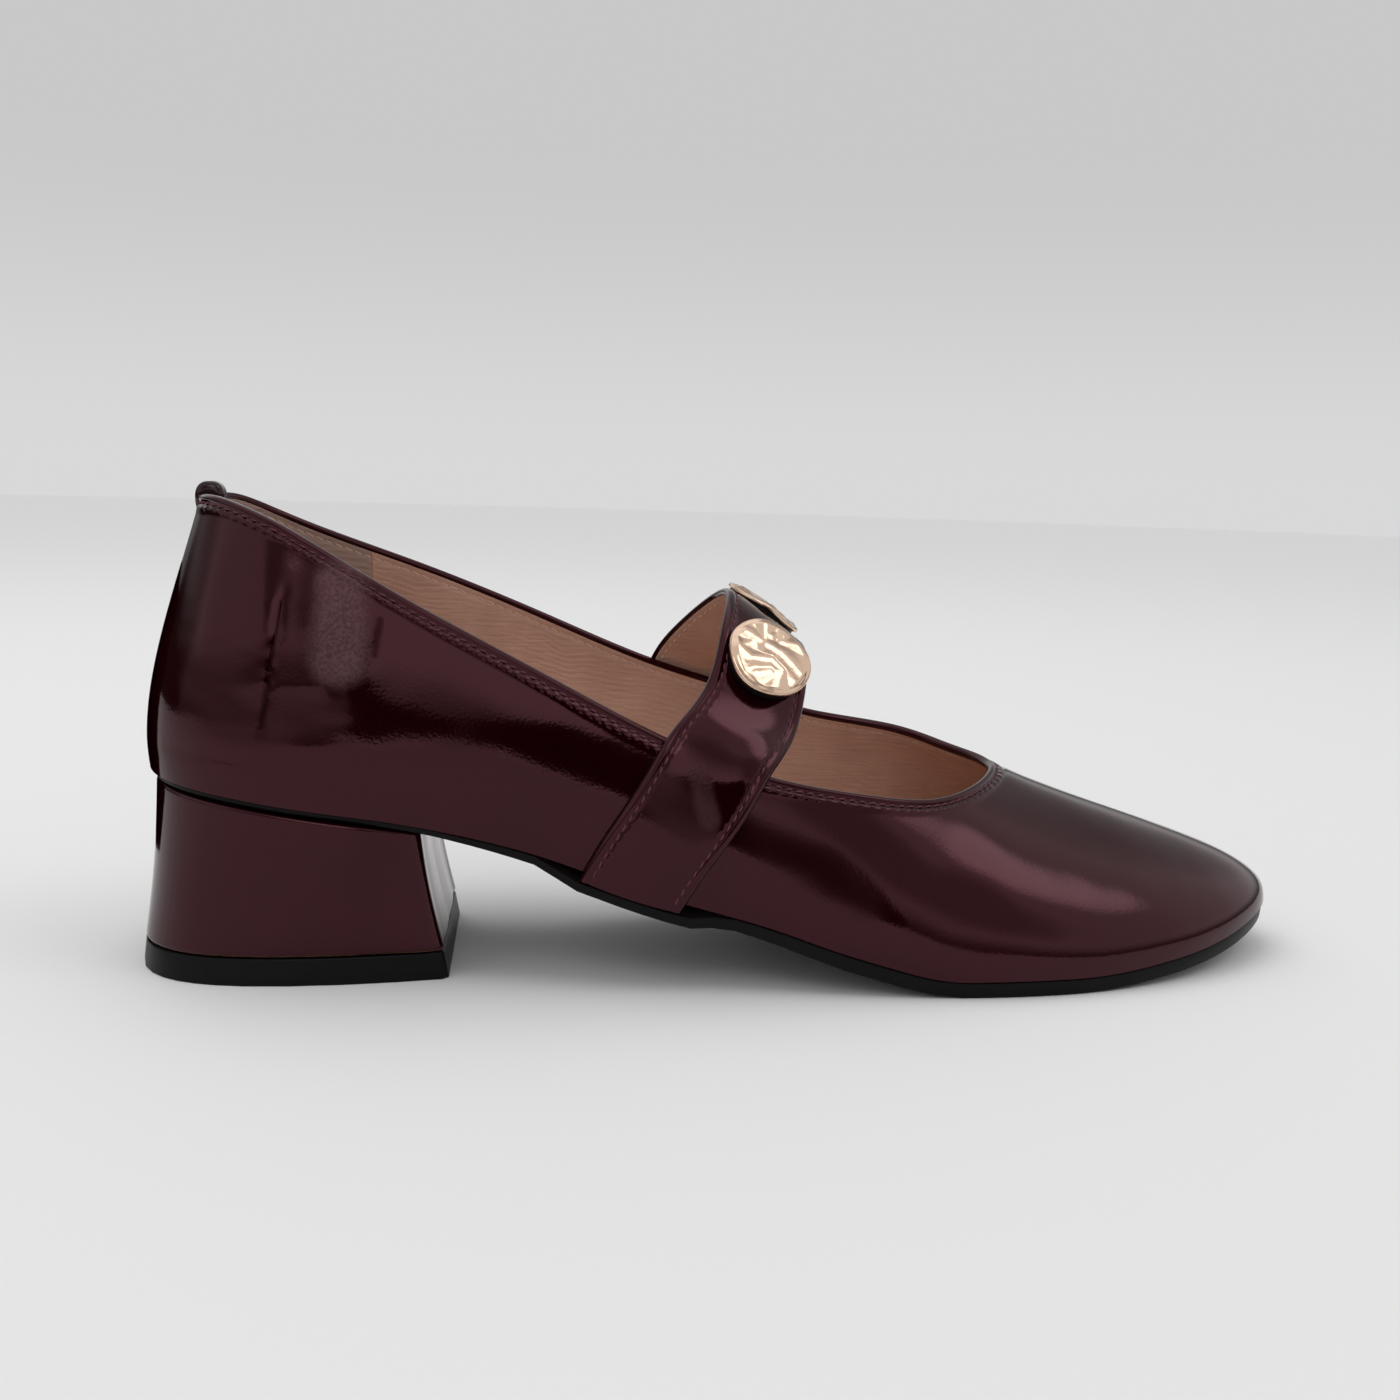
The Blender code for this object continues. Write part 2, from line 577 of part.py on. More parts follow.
def build_back_tab():
    """Rolled strip over the topline at the back seam: a leg outside, a roll over the edge, a leg inside."""
    seam = UPPER.station(0)
    top_out = UPPER.point(seam, 1.0)
    top_in = UPPER.shifted(seam, 1.0, -UPPER_WALL)
    middle = 0.5 * (top_out + top_in)
    out = UPPER.normal(seam, 1.0)
    up = unit(np.cross(np.array([0.0, 1.0, 0.0]), -out))
    if up[2] < 0:
        up = -up
    inner_radius = UPPER_WALL / 2 + TAB_CLEARANCE
    section_out, section_in = [], []
    down_out = UPPER.point(seam, 1.0 - TAB_OUTER_LEG / COUNTER_HEIGHT) - top_out
    down_in = UPPER.shifted(seam, 1.0 - TAB_INNER_LEG / COUNTER_HEIGHT, -UPPER_WALL) - top_in
    for outer_face, section in ((1.0, section_out), (0.0, section_in)):
        arc = []
        for degrees in (0, 25, 50, 75, 100, 125, 150, 180):
            angle = math.radians(degrees)
            roll = TAB_THICKNESS + TAB_ROLL * math.sin(angle / 2) ** 2
            radius = inner_radius + outer_face * roll
            arc.append(middle + out * radius * math.cos(angle) + up * radius * math.sin(angle))
        section.append(arc[0] + down_out)
        section.extend(arc)
        section.append(arc[-1] + down_in)
    ring = section_out + section_in[::-1]
    rings = []
    for share, squeeze in ((-0.5, 0.75), (-0.36, 1.0), (0.36, 1.0), (0.5, 0.75)):
        shifted = []
        for number, point in enumerate(ring):
            outside = number < len(section_out)
            partner = ring[len(ring) - 1 - number]
            place = partner + (point - partner) * squeeze if outside else point
            shifted.append((place[0], place[1] + share * TAB_WIDTH, place[2]))
        rings.append(shifted)
    return finish("back_tab", ring_body(rings), (0.045, 0.010, 0.013), 0.15)


def build_disc(name, along, across, lean, turn, wave_turn):
    """Hammered metal disc with a wavy rim, on a rivet post that stands on the strap."""
    foot = strap_point(along, across)
    strap_out = strap_normal(along, across)
    run = strap_point(along + 0.01, across) - strap_point(along - 0.01, across)
    run = unit(run - strap_out * run.dot(strap_out))
    tilt = math.radians(lean)
    out = strap_out * math.cos(tilt) + run * math.sin(tilt)
    first = run * math.cos(tilt) - strap_out * math.sin(tilt)
    second = np.cross(out, first)
    steps = 36
    radius = DISC_DIAMETER / 2
    post = POST_DIAMETER / 2
    turned = math.radians(turn)

    def place(distance, angle, height):
        around = angle + turned
        return foot + first * distance * math.cos(around) + second * distance * math.sin(around) + out * height

    def wave(distance, angle):
        share = distance / radius
        rim = 0.35 * MM * share ** 3 * math.sin(5 * angle + wave_turn)
        ridge = 0.5 * MM * math.exp(-((distance * math.sin(angle - 0.5)) / (1.6 * MM)) ** 2) * (1 - 0.5 * share)
        cross = 0.4 * MM * math.exp(-((distance * math.cos(angle + 0.3)) / (1.8 * MM)) ** 2) * (1 - share)
        return rim + ridge + cross

    rows = (
        # share of radius, height over the strap, part that waves
        (0.30, DISC_STAND_OFF + DISC_THICKNESS, 1.0),
        (0.60, DISC_STAND_OFF + DISC_THICKNESS, 1.0),
        (0.85, DISC_STAND_OFF + DISC_THICKNESS, 1.0),
        (0.97, DISC_STAND_OFF + 0.85 * DISC_THICKNESS, 1.0),
        (1.00, DISC_STAND_OFF + 0.45 * DISC_THICKNESS, 1.0),
        (0.94, DISC_STAND_OFF, 1.0),
        (0.60, DISC_STAND_OFF, 0.5),
    )
    rings = []
    for share, height, part in rows:
        ring = []
        for i in range(steps):
            angle = 2 * math.pi * i / steps
            lobed = radius * share * (1 + 0.02 * share * math.sin(3 * angle + wave_turn))
            ring.append(place(lobed, angle, height + part * wave(lobed, angle)))
        rings.append(ring)
    rings.append([place(post, 2 * math.pi * i / steps, DISC_STAND_OFF + 0.1 * MM) for i in range(steps)])
    seat = []
    for i in range(steps):
        level = place(post, 2 * math.pi * i / steps, 0.0)
        drop = FIT_GAP - (level - foot).dot(strap_out)
        seat.append(level + out * drop / out.dot(strap_out))
    rings.append(seat)
    return finish(name, ring_body(rings), (0.80, 0.60, 0.47), 0.22, 1.0)


def stand_on_origin(items):
    """Carry all pieces by one empty, so that the origin lies on the floor under the middle of the shoe."""
    low = Vector((math.inf,) * 3)
    high = Vector((-math.inf,) * 3)
    for item in items:
        for vertex in item.data.vertices:
            low = Vector(map(min, low, vertex.co))
            high = Vector(map(max, high, vertex.co))
    carrier = bpy.data.objects.new("shoe_carrier", None)
    bpy.context.scene.collection.objects.link(carrier)
    carrier.location = (-(low.x + high.x) / 2, -(low.y + high.y) / 2, -low.z)
    for item in items:
        item.parent = carrier
    return carrier


for old in list(bpy.data.objects):
    bpy.data.objects.remove(old, do_unlink=True)

pieces = [
    build_heel_top_piece(),
    build_heel_block(),
    build_outsole(),
    build_insole(),
    build_upper(),
    build_back_tab(),
    build_strap(),
]
for disc_row in DISC_ROWS:
    pieces.append(build_disc(*disc_row))
stand_on_origin(pieces)
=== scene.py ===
import math

import bmesh
import bpy
import numpy as np
from mathutils import Matrix, Vector


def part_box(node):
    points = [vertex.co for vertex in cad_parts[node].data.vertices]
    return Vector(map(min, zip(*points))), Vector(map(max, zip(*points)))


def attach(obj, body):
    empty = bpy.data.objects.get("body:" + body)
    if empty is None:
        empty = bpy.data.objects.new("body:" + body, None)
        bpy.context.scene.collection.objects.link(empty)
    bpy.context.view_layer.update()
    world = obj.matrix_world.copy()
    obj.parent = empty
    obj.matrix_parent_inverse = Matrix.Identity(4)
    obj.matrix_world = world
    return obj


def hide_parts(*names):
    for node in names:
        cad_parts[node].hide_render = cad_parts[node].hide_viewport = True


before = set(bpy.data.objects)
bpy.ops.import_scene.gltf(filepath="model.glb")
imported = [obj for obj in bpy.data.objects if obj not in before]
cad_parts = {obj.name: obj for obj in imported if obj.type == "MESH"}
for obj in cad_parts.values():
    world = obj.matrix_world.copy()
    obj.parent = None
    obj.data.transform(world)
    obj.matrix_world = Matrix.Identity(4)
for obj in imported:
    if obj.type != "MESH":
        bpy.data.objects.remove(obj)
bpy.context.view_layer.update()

MM = 0.001
bpy.ops.object.select_all(action="DESELECT")


# Heel top piece. A block of black rubber, 5.5 mm thick, that the heel stands on. It is cut from sheet and
# nailed up under the heel, so its edge is satin and a little rounded.
TOP_PIECE_EDGE = 0.35 * MM
RUBBER_AND_SHADE_BLACK = (0.0045, 0.0045, 0.0050)


class Value:
    """A shader socket that can be written in sums: each operator adds its Math node."""

    def __init__(self, finish, socket):
        self.finish = finish
        self.socket = socket

    def math(self, operation, *others):
        slots = dict(enumerate([self, *others]))
        return self.finish.node("ShaderNodeMath", {"operation": operation}, slots)

    def __add__(self, other):
        return self.math("ADD", other)

    def __sub__(self, other):
        return self.math("SUBTRACT", other)

    def __rsub__(self, other):
        return (self * -1.0).math("ADD", other)

    def __mul__(self, other):
        return self.math("MULTIPLY", other)

    def __truediv__(self, other):
        return self.math("DIVIDE", other)

    __radd__ = __add__
    __rmul__ = __mul__


class Nodes:
    """A node tree, of a material or of the world."""

    def __init__(self, tree):
        self.tree = tree

    def node(self, kind, settings, sockets, out=0):
        """Add a node, with its settings first, then the values or links of its sockets."""
        made = self.tree.nodes.new(kind)
        for name, value in settings.items():
            setattr(made, name, value)
        for name, value in sockets.items():
            if isinstance(value, Value):
                self.tree.links.new(value.socket, made.inputs[name])
            else:
                made.inputs[name].default_value = value
        return Value(self, made.outputs[out])

    def vector(self, operation, first, second, out="Vector"):
        return self.node("ShaderNodeVectorMath", {"operation": operation}, {0: first, 1: second}, out)

    def parts(self, vector):
        """The X, Y and Z of a vector."""
        x = self.node("ShaderNodeSeparateXYZ", {}, {0: vector}, "X")
        return x, Value(self, x.socket.node.outputs["Y"]), Value(self, x.socket.node.outputs["Z"])

    def ramp(self, value, low, high):
        """0 below low, 1 above high, smooth between."""
        return self.node("ShaderNodeMapRange", {"interpolation_type": "SMOOTHSTEP"},
                         {"Value": value, "From Min": low, "From Max": high})


class Finish(Nodes):
    """A material: one Principled shader, and the nodes that drive it."""

    def __init__(self, name, **fixed):
        self.material = bpy.data.materials.new(name)
        self.material.use_nodes = True
        super().__init__(self.material.node_tree)
        self.shader = self.tree.nodes["Principled BSDF"]
        for socket, value in fixed.items():
            self.shader.inputs[socket.replace("_", " ")].default_value = value

    def feed(self, name, value):
        self.tree.links.new(value.socket, self.shader.inputs[name])

    def place(self):
        return self.node("ShaderNodeTexCoord", {}, {}, "Object")

    def noise(self, place, scale, detail=2.0, roughness=0.5):
        return self.node("ShaderNodeTexNoise", {}, {"Vector": place, "Scale": scale, "Detail": detail,
                                                    "Roughness": roughness}, "Fac")

    def stretched(self, place, scale):
        return self.node("ShaderNodeMapping", {}, {"Vector": place, "Scale": scale})

    def between(self, share, first, second):
        """A colour part of the way from the first, a value or a colour, to the second colour."""
        start = first if isinstance(first, Value) else (*first, 1.0)
        # A colour Mix node has its share in socket 0 and its ends in 6 and 7, and gives its colour from 2.
        return self.node("ShaderNodeMix", {"data_type": "RGBA"}, {0: share, 6: start, 7: (*second, 1.0)}, 2)

    def bump(self, height, depth, normal=None):
        sockets = {"Height": height, "Distance": depth, "Strength": 1.0}
        if normal is not None:
            sockets["Normal"] = normal
        return self.node("ShaderNodeBump", {}, sockets, "Normal")

    def off_line(self, place, start, end, half_width):
        """How far a place lies from a line in the side view, in half widths of the line."""
        run = Vector((end[0] - start[0], 0.0, end[1] - start[1])) * MM
        flat = self.vector("MULTIPLY", place, (1.0, 0.0, 1.0))
        from_start = self.vector("SUBTRACT", flat, (start[0] * MM, 0.0, start[1] * MM))
        share = self.vector("DOT_PRODUCT", from_start, run / run.length_squared, "Value")
        share = share.math("MINIMUM", 1.0).math("MAXIMUM", 0.0)
        along = {0: run, "Scale": share}
        nearest = self.node("ShaderNodeVectorMath", {"operation": "SCALE"}, along, "Vector")
        return self.vector("DISTANCE", from_start, nearest, "Value") / (half_width * MM)


def rubber(name, colour):
    """Satin black rubber: fine grit, scuffs that catch the light, dusty in places."""
    finish = Finish(name, Specular_IOR_Level=0.11)
    place = finish.place()
    dust = finish.ramp(finish.noise(place, 70.0, 4.0), 0.45, 0.8)
    finish.feed("Base Color", finish.between(dust, colour, tuple(1.6 * c for c in colour)))
    finish.feed("Roughness", finish.noise(place, 240.0) * 0.14 + 0.30)
    finish.feed("Normal", finish.bump(finish.noise(place, 2600.0), 0.02 * MM))
    return finish.material


def pick(item):
    """Select one object alone and make it the active one."""
    bpy.ops.object.select_all(action="DESELECT")
    item.select_set(True)
    bpy.context.view_layer.objects.active = item


def merged_copy(node, name):
    """A copy of a CAD node as one merged mesh, left selected in object mode."""
    pick(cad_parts[node])
    bpy.ops.object.duplicate()
    copy = bpy.context.view_layer.objects.active
    copy.name = name
    copy.parent = None
    for key in list(copy.keys()):
        del copy[key]
    bpy.ops.object.mode_set(mode="EDIT")
    bpy.ops.mesh.select_mode(type="VERT")
    bpy.ops.mesh.select_all(action="SELECT")
    bpy.ops.mesh.remove_doubles(threshold=0.01 * MM)
    bpy.ops.mesh.dissolve_limited(angle_limit=math.radians(1.0))
    bpy.ops.object.mode_set(mode="OBJECT")
    copy.data.materials.clear()
    return copy


def dress(item, material, slot, *nodes, angle=35.0):
    """Give a finished piece its material, smooth shading, body and the CAD nodes that it stands for. The slot
    is not used.
    """
    item.data.materials.clear()
    item.data.materials.append(material)
    pick(item)
    bpy.ops.object.shade_smooth_by_angle(angle=math.radians(angle))
    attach(item, "root")
    if nodes:
        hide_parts(*nodes)
    return item


def rounded_edges(item, width, segments, angle=40.0):
    """Round every edge that is sharper than the angle."""
    bevel = item.modifiers.new("edges", "BEVEL")
    bevel.width = width
    bevel.segments = segments
    bevel.limit_method = "ANGLE"
    bevel.angle_limit = math.radians(angle)
    bpy.ops.object.modifier_apply(modifier="edges")


top_piece = merged_copy("heel_top_piece", "top_piece")
rounded_edges(top_piece, TOP_PIECE_EDGE, 3)
dress(top_piece, rubber("top_piece_rubber", RUBBER_AND_SHADE_BLACK), "top_piece_rubber", "heel_top_piece")


# Outsole. Black moulded unit, thin under the heel seat and thicker under the forepart, where its edge shows as
# a matt line below the upper. It is cemented on, over the turned-in ends of the strap.
SOLE_EDGE = 0.4 * MM
SOLE_BLACK = (0.0040, 0.0032, 0.0036)

sole = merged_copy("outsole", "outsole_unit")
rounded_edges(sole, SOLE_EDGE, 2, 55.0)
dress(sole, rubber("sole_rubber", SOLE_BLACK), "sole_rubber", "outsole")


# Heel block. A wooden block wrapped in patent leather: round at the back, straight at the breast, with a
# tight turn at each edge. The wrap's seam runs down the middle and its raw edge shows at the foot.
HEEL_COLUMNS = 260
HEEL_ROWS = 60
HEEL_EDGE_TURN = 0.7 * MM
HEEL_SIDE_HOLLOW = 0.5 * MM
HEEL_TURNS = (22, 45, 68, 90)
BREAST_SHARES = (0.05, 0.18, 0.5, 0.82, 0.95)
WRAP_SEAM_Y = -1.0 * MM
PATENT_DYE = (0.0120, 0.0008, 0.0016)
PATENT_DEEP = (0.0080, 0.0004, 0.0009)
PATENT_TINT = (1.0, 0.42, 0.50, 1.0)
# Pale pinkish grey mixed into the dye over strained grain: a painted highlight.
PAINTED_GRAIN_HIGHLIGHT = (0.080, 0.046, 0.052)
RAW_LEATHER = (0.16, 0.07, 0.035)
SIDE_FADE = 8 * MM
STITCH_PITCH = 2.2 * MM
SHARP = math.radians(50.0)


def sheets_of(node):
    """The smooth sheets of a CAD node, largest first, each as its faces' corners, with the points' places."""
    bm = bmesh.new()
    bm.from_mesh(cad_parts[node].data)
    bmesh.ops.remove_doubles(bm, verts=bm.verts, dist=0.01 * MM)
    bm.faces.ensure_lookup_table()
    seen, found = set(), []
    for face in bm.faces:
        if face.index in seen:
            continue
        seen.add(face.index)
        sheet, waiting = [], [face]
        while waiting:
            at = waiting.pop()
            sheet.append(at)
            for edge in at.edges:
                if edge.calc_face_angle(0.0) < SHARP:
                    for near in edge.link_faces:
                        if near.index not in seen:
                            seen.add(near.index)
                            waiting.append(near)
        found.append(sheet)
    found.sort(key=lambda sheet: -sum(face.calc_area() for face in sheet))
    places = np.array([v.co for v in bm.verts])
    corners = [[[v.index for v in face.verts] for face in sheet] for sheet in found]
    bm.free()
    return corners, places


def border_loops(faces):
    """The border of a sheet as loops of point numbers."""
    sides = {}
    for face in faces:
        for a, b in zip(face, face[1:] + face[:1]):
            sides[(a, b)] = sides.get((a, b), 0) + 1
    onward = {a: b for a, b in sides if (b, a) not in sides}
    loops = []
    while onward:
        first, at = onward.popitem()
        loop = [first]
        while at != first:
            loop.append(at)
            at = onward.pop(at)
        loops.append(loop)
    return loops


def rows_from(faces, places, start, closed):
    """The rows of a sheet's grid of points, from the row start on: an array of places, row by column."""
    layer = {point: 0 for point in start}
    near = {}
    for face in faces:
        for point in face:
            near.setdefault(point, set()).update(face)
    reached = list(start)
    while reached:
        ahead = []
        for point in reached:
            for other in near[point]:
                if other not in layer:
                    layer[other] = layer[point] + 1
                    ahead.append(other)
        reached = ahead
    beside = {}
    for face in faces:
        if len({layer[point] for point in face}) > 1:
            for a, b in zip(face, face[1:] + face[:1]):
                if layer[a] == layer[b]:
                    beside.setdefault(a, set()).add(b)
                    beside.setdefault(b, set()).add(a)
    rows = [places[list(start)]]
    for number in range(1, max(layer.values()) + 1):
        members = [point for point, at in layer.items() if at == number]
        ends = [point for point in members if len(beside[point]) == 1]
        chain = [ends[0] if ends else members[0]]
        while len(chain) < len(members):
            chain.append(next(p for p in beside[chain[-1]] if p not in chain[-2:]))
        row = places[chain]
        ways = [row, row[::-1]]
        if closed:
            ways = [np.roll(way, turn, axis=0) for way in ways for turn in range(len(row))]
        rows.append(min(ways, key=lambda way: np.linalg.norm(way - rows[-1], axis=1).sum()))
    return np.array(rows)


def spline(points, places, closed):
    """Smooth cubic through the points along the first axis, read at places, which run from 0 to 1."""
    if closed:
        points = np.concatenate([points, points[:1]])
    flat = points.reshape(len(points), -1)
    steps = np.linalg.norm(np.diff(points, axis=0), axis=-1).reshape(len(points) - 1, -1).mean(axis=1)
    knots = np.concatenate([[0.0], np.cumsum(steps)])
    knots /= knots[-1]
    gap = np.diff(knots)
    slope = np.diff(flat, axis=0) / gap[:, None]
    count = len(gap) if closed else len(points)
    matrix = np.eye(count)
    pull = np.zeros((count, flat.shape[1]))
    for i in range(0 if closed else 1, count if closed else count - 1):
        before, after = gap[i - 1], gap[i]
        matrix[i, i] = 2 * (before + after)
        matrix[i, i - 1] = before
        matrix[i, (i + 1) % count] = after
        pull[i] = 6 * (slope[i] - slope[i - 1])
    bend = np.linalg.solve(matrix, pull)
    if closed:
        bend = np.concatenate([bend, bend[:1]])
    i = np.clip(np.searchsorted(knots, places, side="right") - 1, 0, len(gap) - 1)
    width = gap[i][:, None]
    a = (knots[i + 1] - places)[:, None] / width
    b = 1 - a
    curve = ((a ** 3 - a) * bend[i] + (b ** 3 - b) * bend[i + 1]) * width ** 2 / 6
    read = a * flat[i] + b * flat[i + 1] + curve
    return read.reshape((len(places),) + points.shape[1:])


def distances(line):
    """How far along a line of points each of them lies."""
    return np.concatenate([[0.0], np.cumsum(np.linalg.norm(np.diff(line, axis=0), axis=1))])


def read_at(at, run, line):
    """The points of a line, or its directions, at given distances. Run holds the distance of each row."""
    return np.stack([np.interp(at, run, line[:, k]) for k in range(3)], axis=-1)


def facing(grid, closed):
    """Unit normals of a grid of points, row by column, with the columns along the second axis."""
    if closed:
        along = np.roll(grid, -1, axis=0) - np.roll(grid, 1, axis=0)
    else:
        along = np.gradient(grid, axis=0)
    across = np.gradient(grid, axis=1)
    normal = np.cross(along, across)
    return normal / np.linalg.norm(normal, axis=-1, keepdims=True)


def new_piece(name, points, faces):
    """A new object in the scene, from its points and its faces' corners."""
    mesh = bpy.data.meshes.new(name)
    mesh.from_pydata(points, [], faces)
    item = bpy.data.objects.new(name, mesh)
    bpy.context.scene.collection.objects.link(item)
    return item


def tube_piece(name, grid, maps=None, closed=True, loop=True):
    """A mesh from a grid of points: closed joins the first axis round, loop joins the second."""
    rows, columns = grid.shape[:2]
    i = np.arange(rows if closed else rows - 1)
    j = np.arange(columns if loop else columns - 1)
    i, j = np.meshgrid(i, j, indexing="ij")
    k, m = (i + 1) % rows, (j + 1) % columns
    quads = np.stack([i * columns + j, k * columns + j, k * columns + m, i * columns + m], axis=-1)
    faces = quads.reshape(-1, 4).tolist()
    if loop and not closed:
        faces.append(list(range(columns))[::-1])
        faces.append(list(range((rows - 1) * columns, rows * columns)))
    item = new_piece(name, grid.reshape(-1, 3).tolist(), faces)
    mesh = item.data
    if maps is not None:
        # The map holds lengths along and below a seam. The last strip of a closed grid is carried on, not back.
        layer = mesh.uv_layers.new(name="seam")
        corners = np.zeros(len(mesh.loops), dtype=np.int32)
        mesh.loops.foreach_get("vertex_index", corners)
        values = maps.reshape(-1, 2)[corners]
        quad = values[:4 * quads.shape[0] * quads.shape[1], 0].reshape(-1, 4)
        far = quad.max(axis=1, keepdims=True) - quad > 0.5 * maps[..., 0].max()
        quad += far * (maps[..., 0].max() + maps[1, 0, 0] - maps[0, 0, 0])
        layer.data.foreach_set("uv", values.ravel())
    pick(item)
    bpy.ops.object.mode_set(mode="EDIT")
    bpy.ops.mesh.select_all(action="SELECT")
    bpy.ops.mesh.normals_make_consistent(inside=False)
    bpy.ops.object.mode_set(mode="OBJECT")
    return item


def patent(name, rows=(), folds=(), grain_and_highlight=(), raw_edge=None, seam_at=None, tint=PATENT_TINT):
    """Patent leather: burgundy dye under a clear coat, with a fine pebble and a slow wave in its surface.
    Strained grain patches get a painted highlight in the dye, and fold floors get painted shade.
    """
    finish = Finish(name, Specular_IOR_Level=0.52, Specular_Tint=tint)
    place = finish.place()
    y, z = finish.parts(place)[1:]
    cloud = finish.noise(place, 28.0, 3.0)
    colour = finish.between(finish.ramp(cloud, 0.3, 0.75), PATENT_DEEP, PATENT_DYE)
    rough = finish.noise(place, 160.0, 2.0) * 0.05 + 0.05
    pebble = finish.noise(place, 1500.0, 2.0)
    for start, end, half_width, roughened, highlight_share in grain_and_highlight:
        # Leather strained over the last scatters the light through its grain, so the patch is rougher. Where it
        # is paled, a painted highlight of pale pinkish grey is mixed into the dye.
        off = finish.off_line(place, start, end, half_width) + cloud * 0.8 - 0.4
        patch = (1.0 - finish.ramp(off, 0.35, 1.15)) * finish.ramp(y * -1.0, 0.0, SIDE_FADE)
        rough = rough + patch * roughened
        if highlight_share:
            painted_highlight = patch * (finish.ramp(pebble, 0.35, 0.65) * 0.5 + 0.5) * highlight_share
            colour = finish.between(painted_highlight, colour, PAINTED_GRAIN_HIGHLIGHT)
            pebble = pebble * (patch * 2.6 + 1.0)
    surface = finish.bump(finish.noise(place, 55.0, 1.0), 0.35 * MM)
    surface = finish.bump(pebble, 0.012 * MM, surface)
    ragged = finish.noise(place, 700.0, 3.0)
    hidden = None
    for start, end, half_width, depth in folds:
        # The floor of a sharp fold faces its own walls. Its shade is painted in: the floor turns partly
        # metallic over the dark dye and looks nearly black, with a ragged edge.
        wander = (finish.noise(place, 240.0, 4.0) - 0.5) * 0.8
        off = finish.off_line(place, start, end, half_width) + wander
        core = (1.0 - finish.ramp(off, 0.0, 1.0)) * finish.ramp(y * -1.0, 0.0, SIDE_FADE)
        surface = finish.bump(1.0 - core, depth * MM, surface)
        hidden = core if hidden is None else hidden.math("MAXIMUM", core)
    if rows:
        along, depth = finish.parts(finish.node("ShaderNodeUVMap", {"uv_map": "seam"}, {}))[:2]
        turn = along * (2 * math.pi / STITCH_PITCH) + ragged * 2.5
        pulled = turn.math("COSINE") * 0.5 + 0.5
        for row, height in rows:
            near = 1.0 - finish.ramp((depth - row).math("ABSOLUTE"), 0.1 * MM, 1.2 * MM)
            surface = finish.bump(pulled * near * ragged, height * MM, surface)
            surface = finish.bump(ragged * near, 0.4 * height * MM, surface)
    if seam_at is not None:
        line = 1.0 - finish.ramp((y - seam_at).math("ABSOLUTE"), 0.08 * MM, 0.26 * MM)
        surface = finish.bump(1.0 - line, 0.3 * MM, surface)
    if raw_edge is not None:
        edge = 1.0 - finish.ramp(z + ragged * 0.2 * MM, raw_edge + 0.28 * MM, raw_edge + 0.42 * MM)
        colour = finish.between(edge, colour, RAW_LEATHER)
        rough = rough + edge * 0.4
    # Painted shade on the fold floors: Metallic over the dark dye makes them reflect almost nothing.
    if hidden is not None:
        finish.feed("Metallic", hidden * 0.65)
    finish.feed("Base Color", colour)
    finish.feed("Roughness", rough)
    finish.feed("Normal", surface)
    return finish.material


sheets, points = sheets_of("heel_block")
loops = sorted(border_loops(sheets[0]), key=lambda loop: points[loop][:, 2].mean())
plans = []
for loop in loops:
    plan = points[loop]
    front = plan[:, 0] > plan[:, 0].max() - 0.05 * MM
    corner = np.abs(plan[front, 1]).max()
    plan = plan[~front | (np.abs(plan[:, 1]) > 0.9 * corner)]
    plan = np.roll(plan, -int(np.argmax(plan[:, 0] * 100 + plan[:, 1])), axis=0)
    if plan[1, 0] > plan[-1, 0]:
        plan = np.roll(plan[::-1], 1, axis=0)
    breast = [plan[-1] + (plan[0] - plan[-1]) * share for share in BREAST_SHARES]
    plans.append(np.array([*plan, *breast]))
round_heel = spline(np.stack(plans, axis=1), np.linspace(0, 1, HEEL_COLUMNS, endpoint=False), True)
low_plan, top_plan = round_heel[:, 0], round_heel[:, 1]
run = np.roll(low_plan, -1, axis=0) - np.roll(low_plan, 1, axis=0)
out = np.stack([run[:, 1], -run[:, 0], np.zeros(len(run))], axis=-1)
out /= np.linalg.norm(out, axis=-1, keepdims=True)
if np.sum(out * (low_plan - low_plan.mean(axis=0))) < 0:
    out = -out
rise = top_plan - low_plan
tall = np.linalg.norm(rise, axis=-1, keepdims=True)
climb = rise / tall
heel_rings = []
for degrees in reversed(HEEL_TURNS):
    turn = math.radians(degrees)
    inset, lift = 1 - math.cos(turn), 1 - math.sin(turn)
    heel_rings.append(low_plan + HEEL_EDGE_TURN * (climb * lift - out * inset))
for level in np.linspace(0, 1, HEEL_ROWS):
    climbed = climb * (HEEL_EDGE_TURN + (tall - 2 * HEEL_EDGE_TURN) * level)
    heel_rings.append(low_plan + climbed - out * HEEL_SIDE_HOLLOW * math.sin(math.pi * level))
for degrees in HEEL_TURNS:
    turn = math.radians(degrees)
    inset, lift = 1 - math.cos(turn), 1 - math.sin(turn)
    heel_rings.append(top_plan - HEEL_EDGE_TURN * (climb * lift + out * inset))
section = np.stack(heel_rings, axis=1)
heel = tube_piece("heel_cover", section, loop=False)
bpy.ops.object.mode_set(mode="EDIT")
bpy.ops.mesh.select_mode(type="EDGE")
bpy.ops.mesh.select_all(action="DESELECT")
bpy.ops.mesh.select_non_manifold()
bpy.ops.mesh.fill_holes(sides=0)
bpy.ops.object.mode_set(mode="OBJECT")
heel_leather = patent("patent_heel", raw_edge=float(low_plan[:, 2].min()), seam_at=WRAP_SEAM_Y)
dress(heel, heel_leather, "patent_leather", "heel_block", angle=60.0)


# Insole. Board with a sock of pale leather on top. It is cut to lie inside the upper's wall, so its edge is
# only a little rounded.
LINING_TAN = (0.61, 0.385, 0.292)
LINING_SHADE = (0.53, 0.325, 0.242)
GRIP_GREY = (0.40, 0.290, 0.245)
GRIP_SEAM_X = -80.0 * MM
SOCK_EDGE = 0.5 * MM


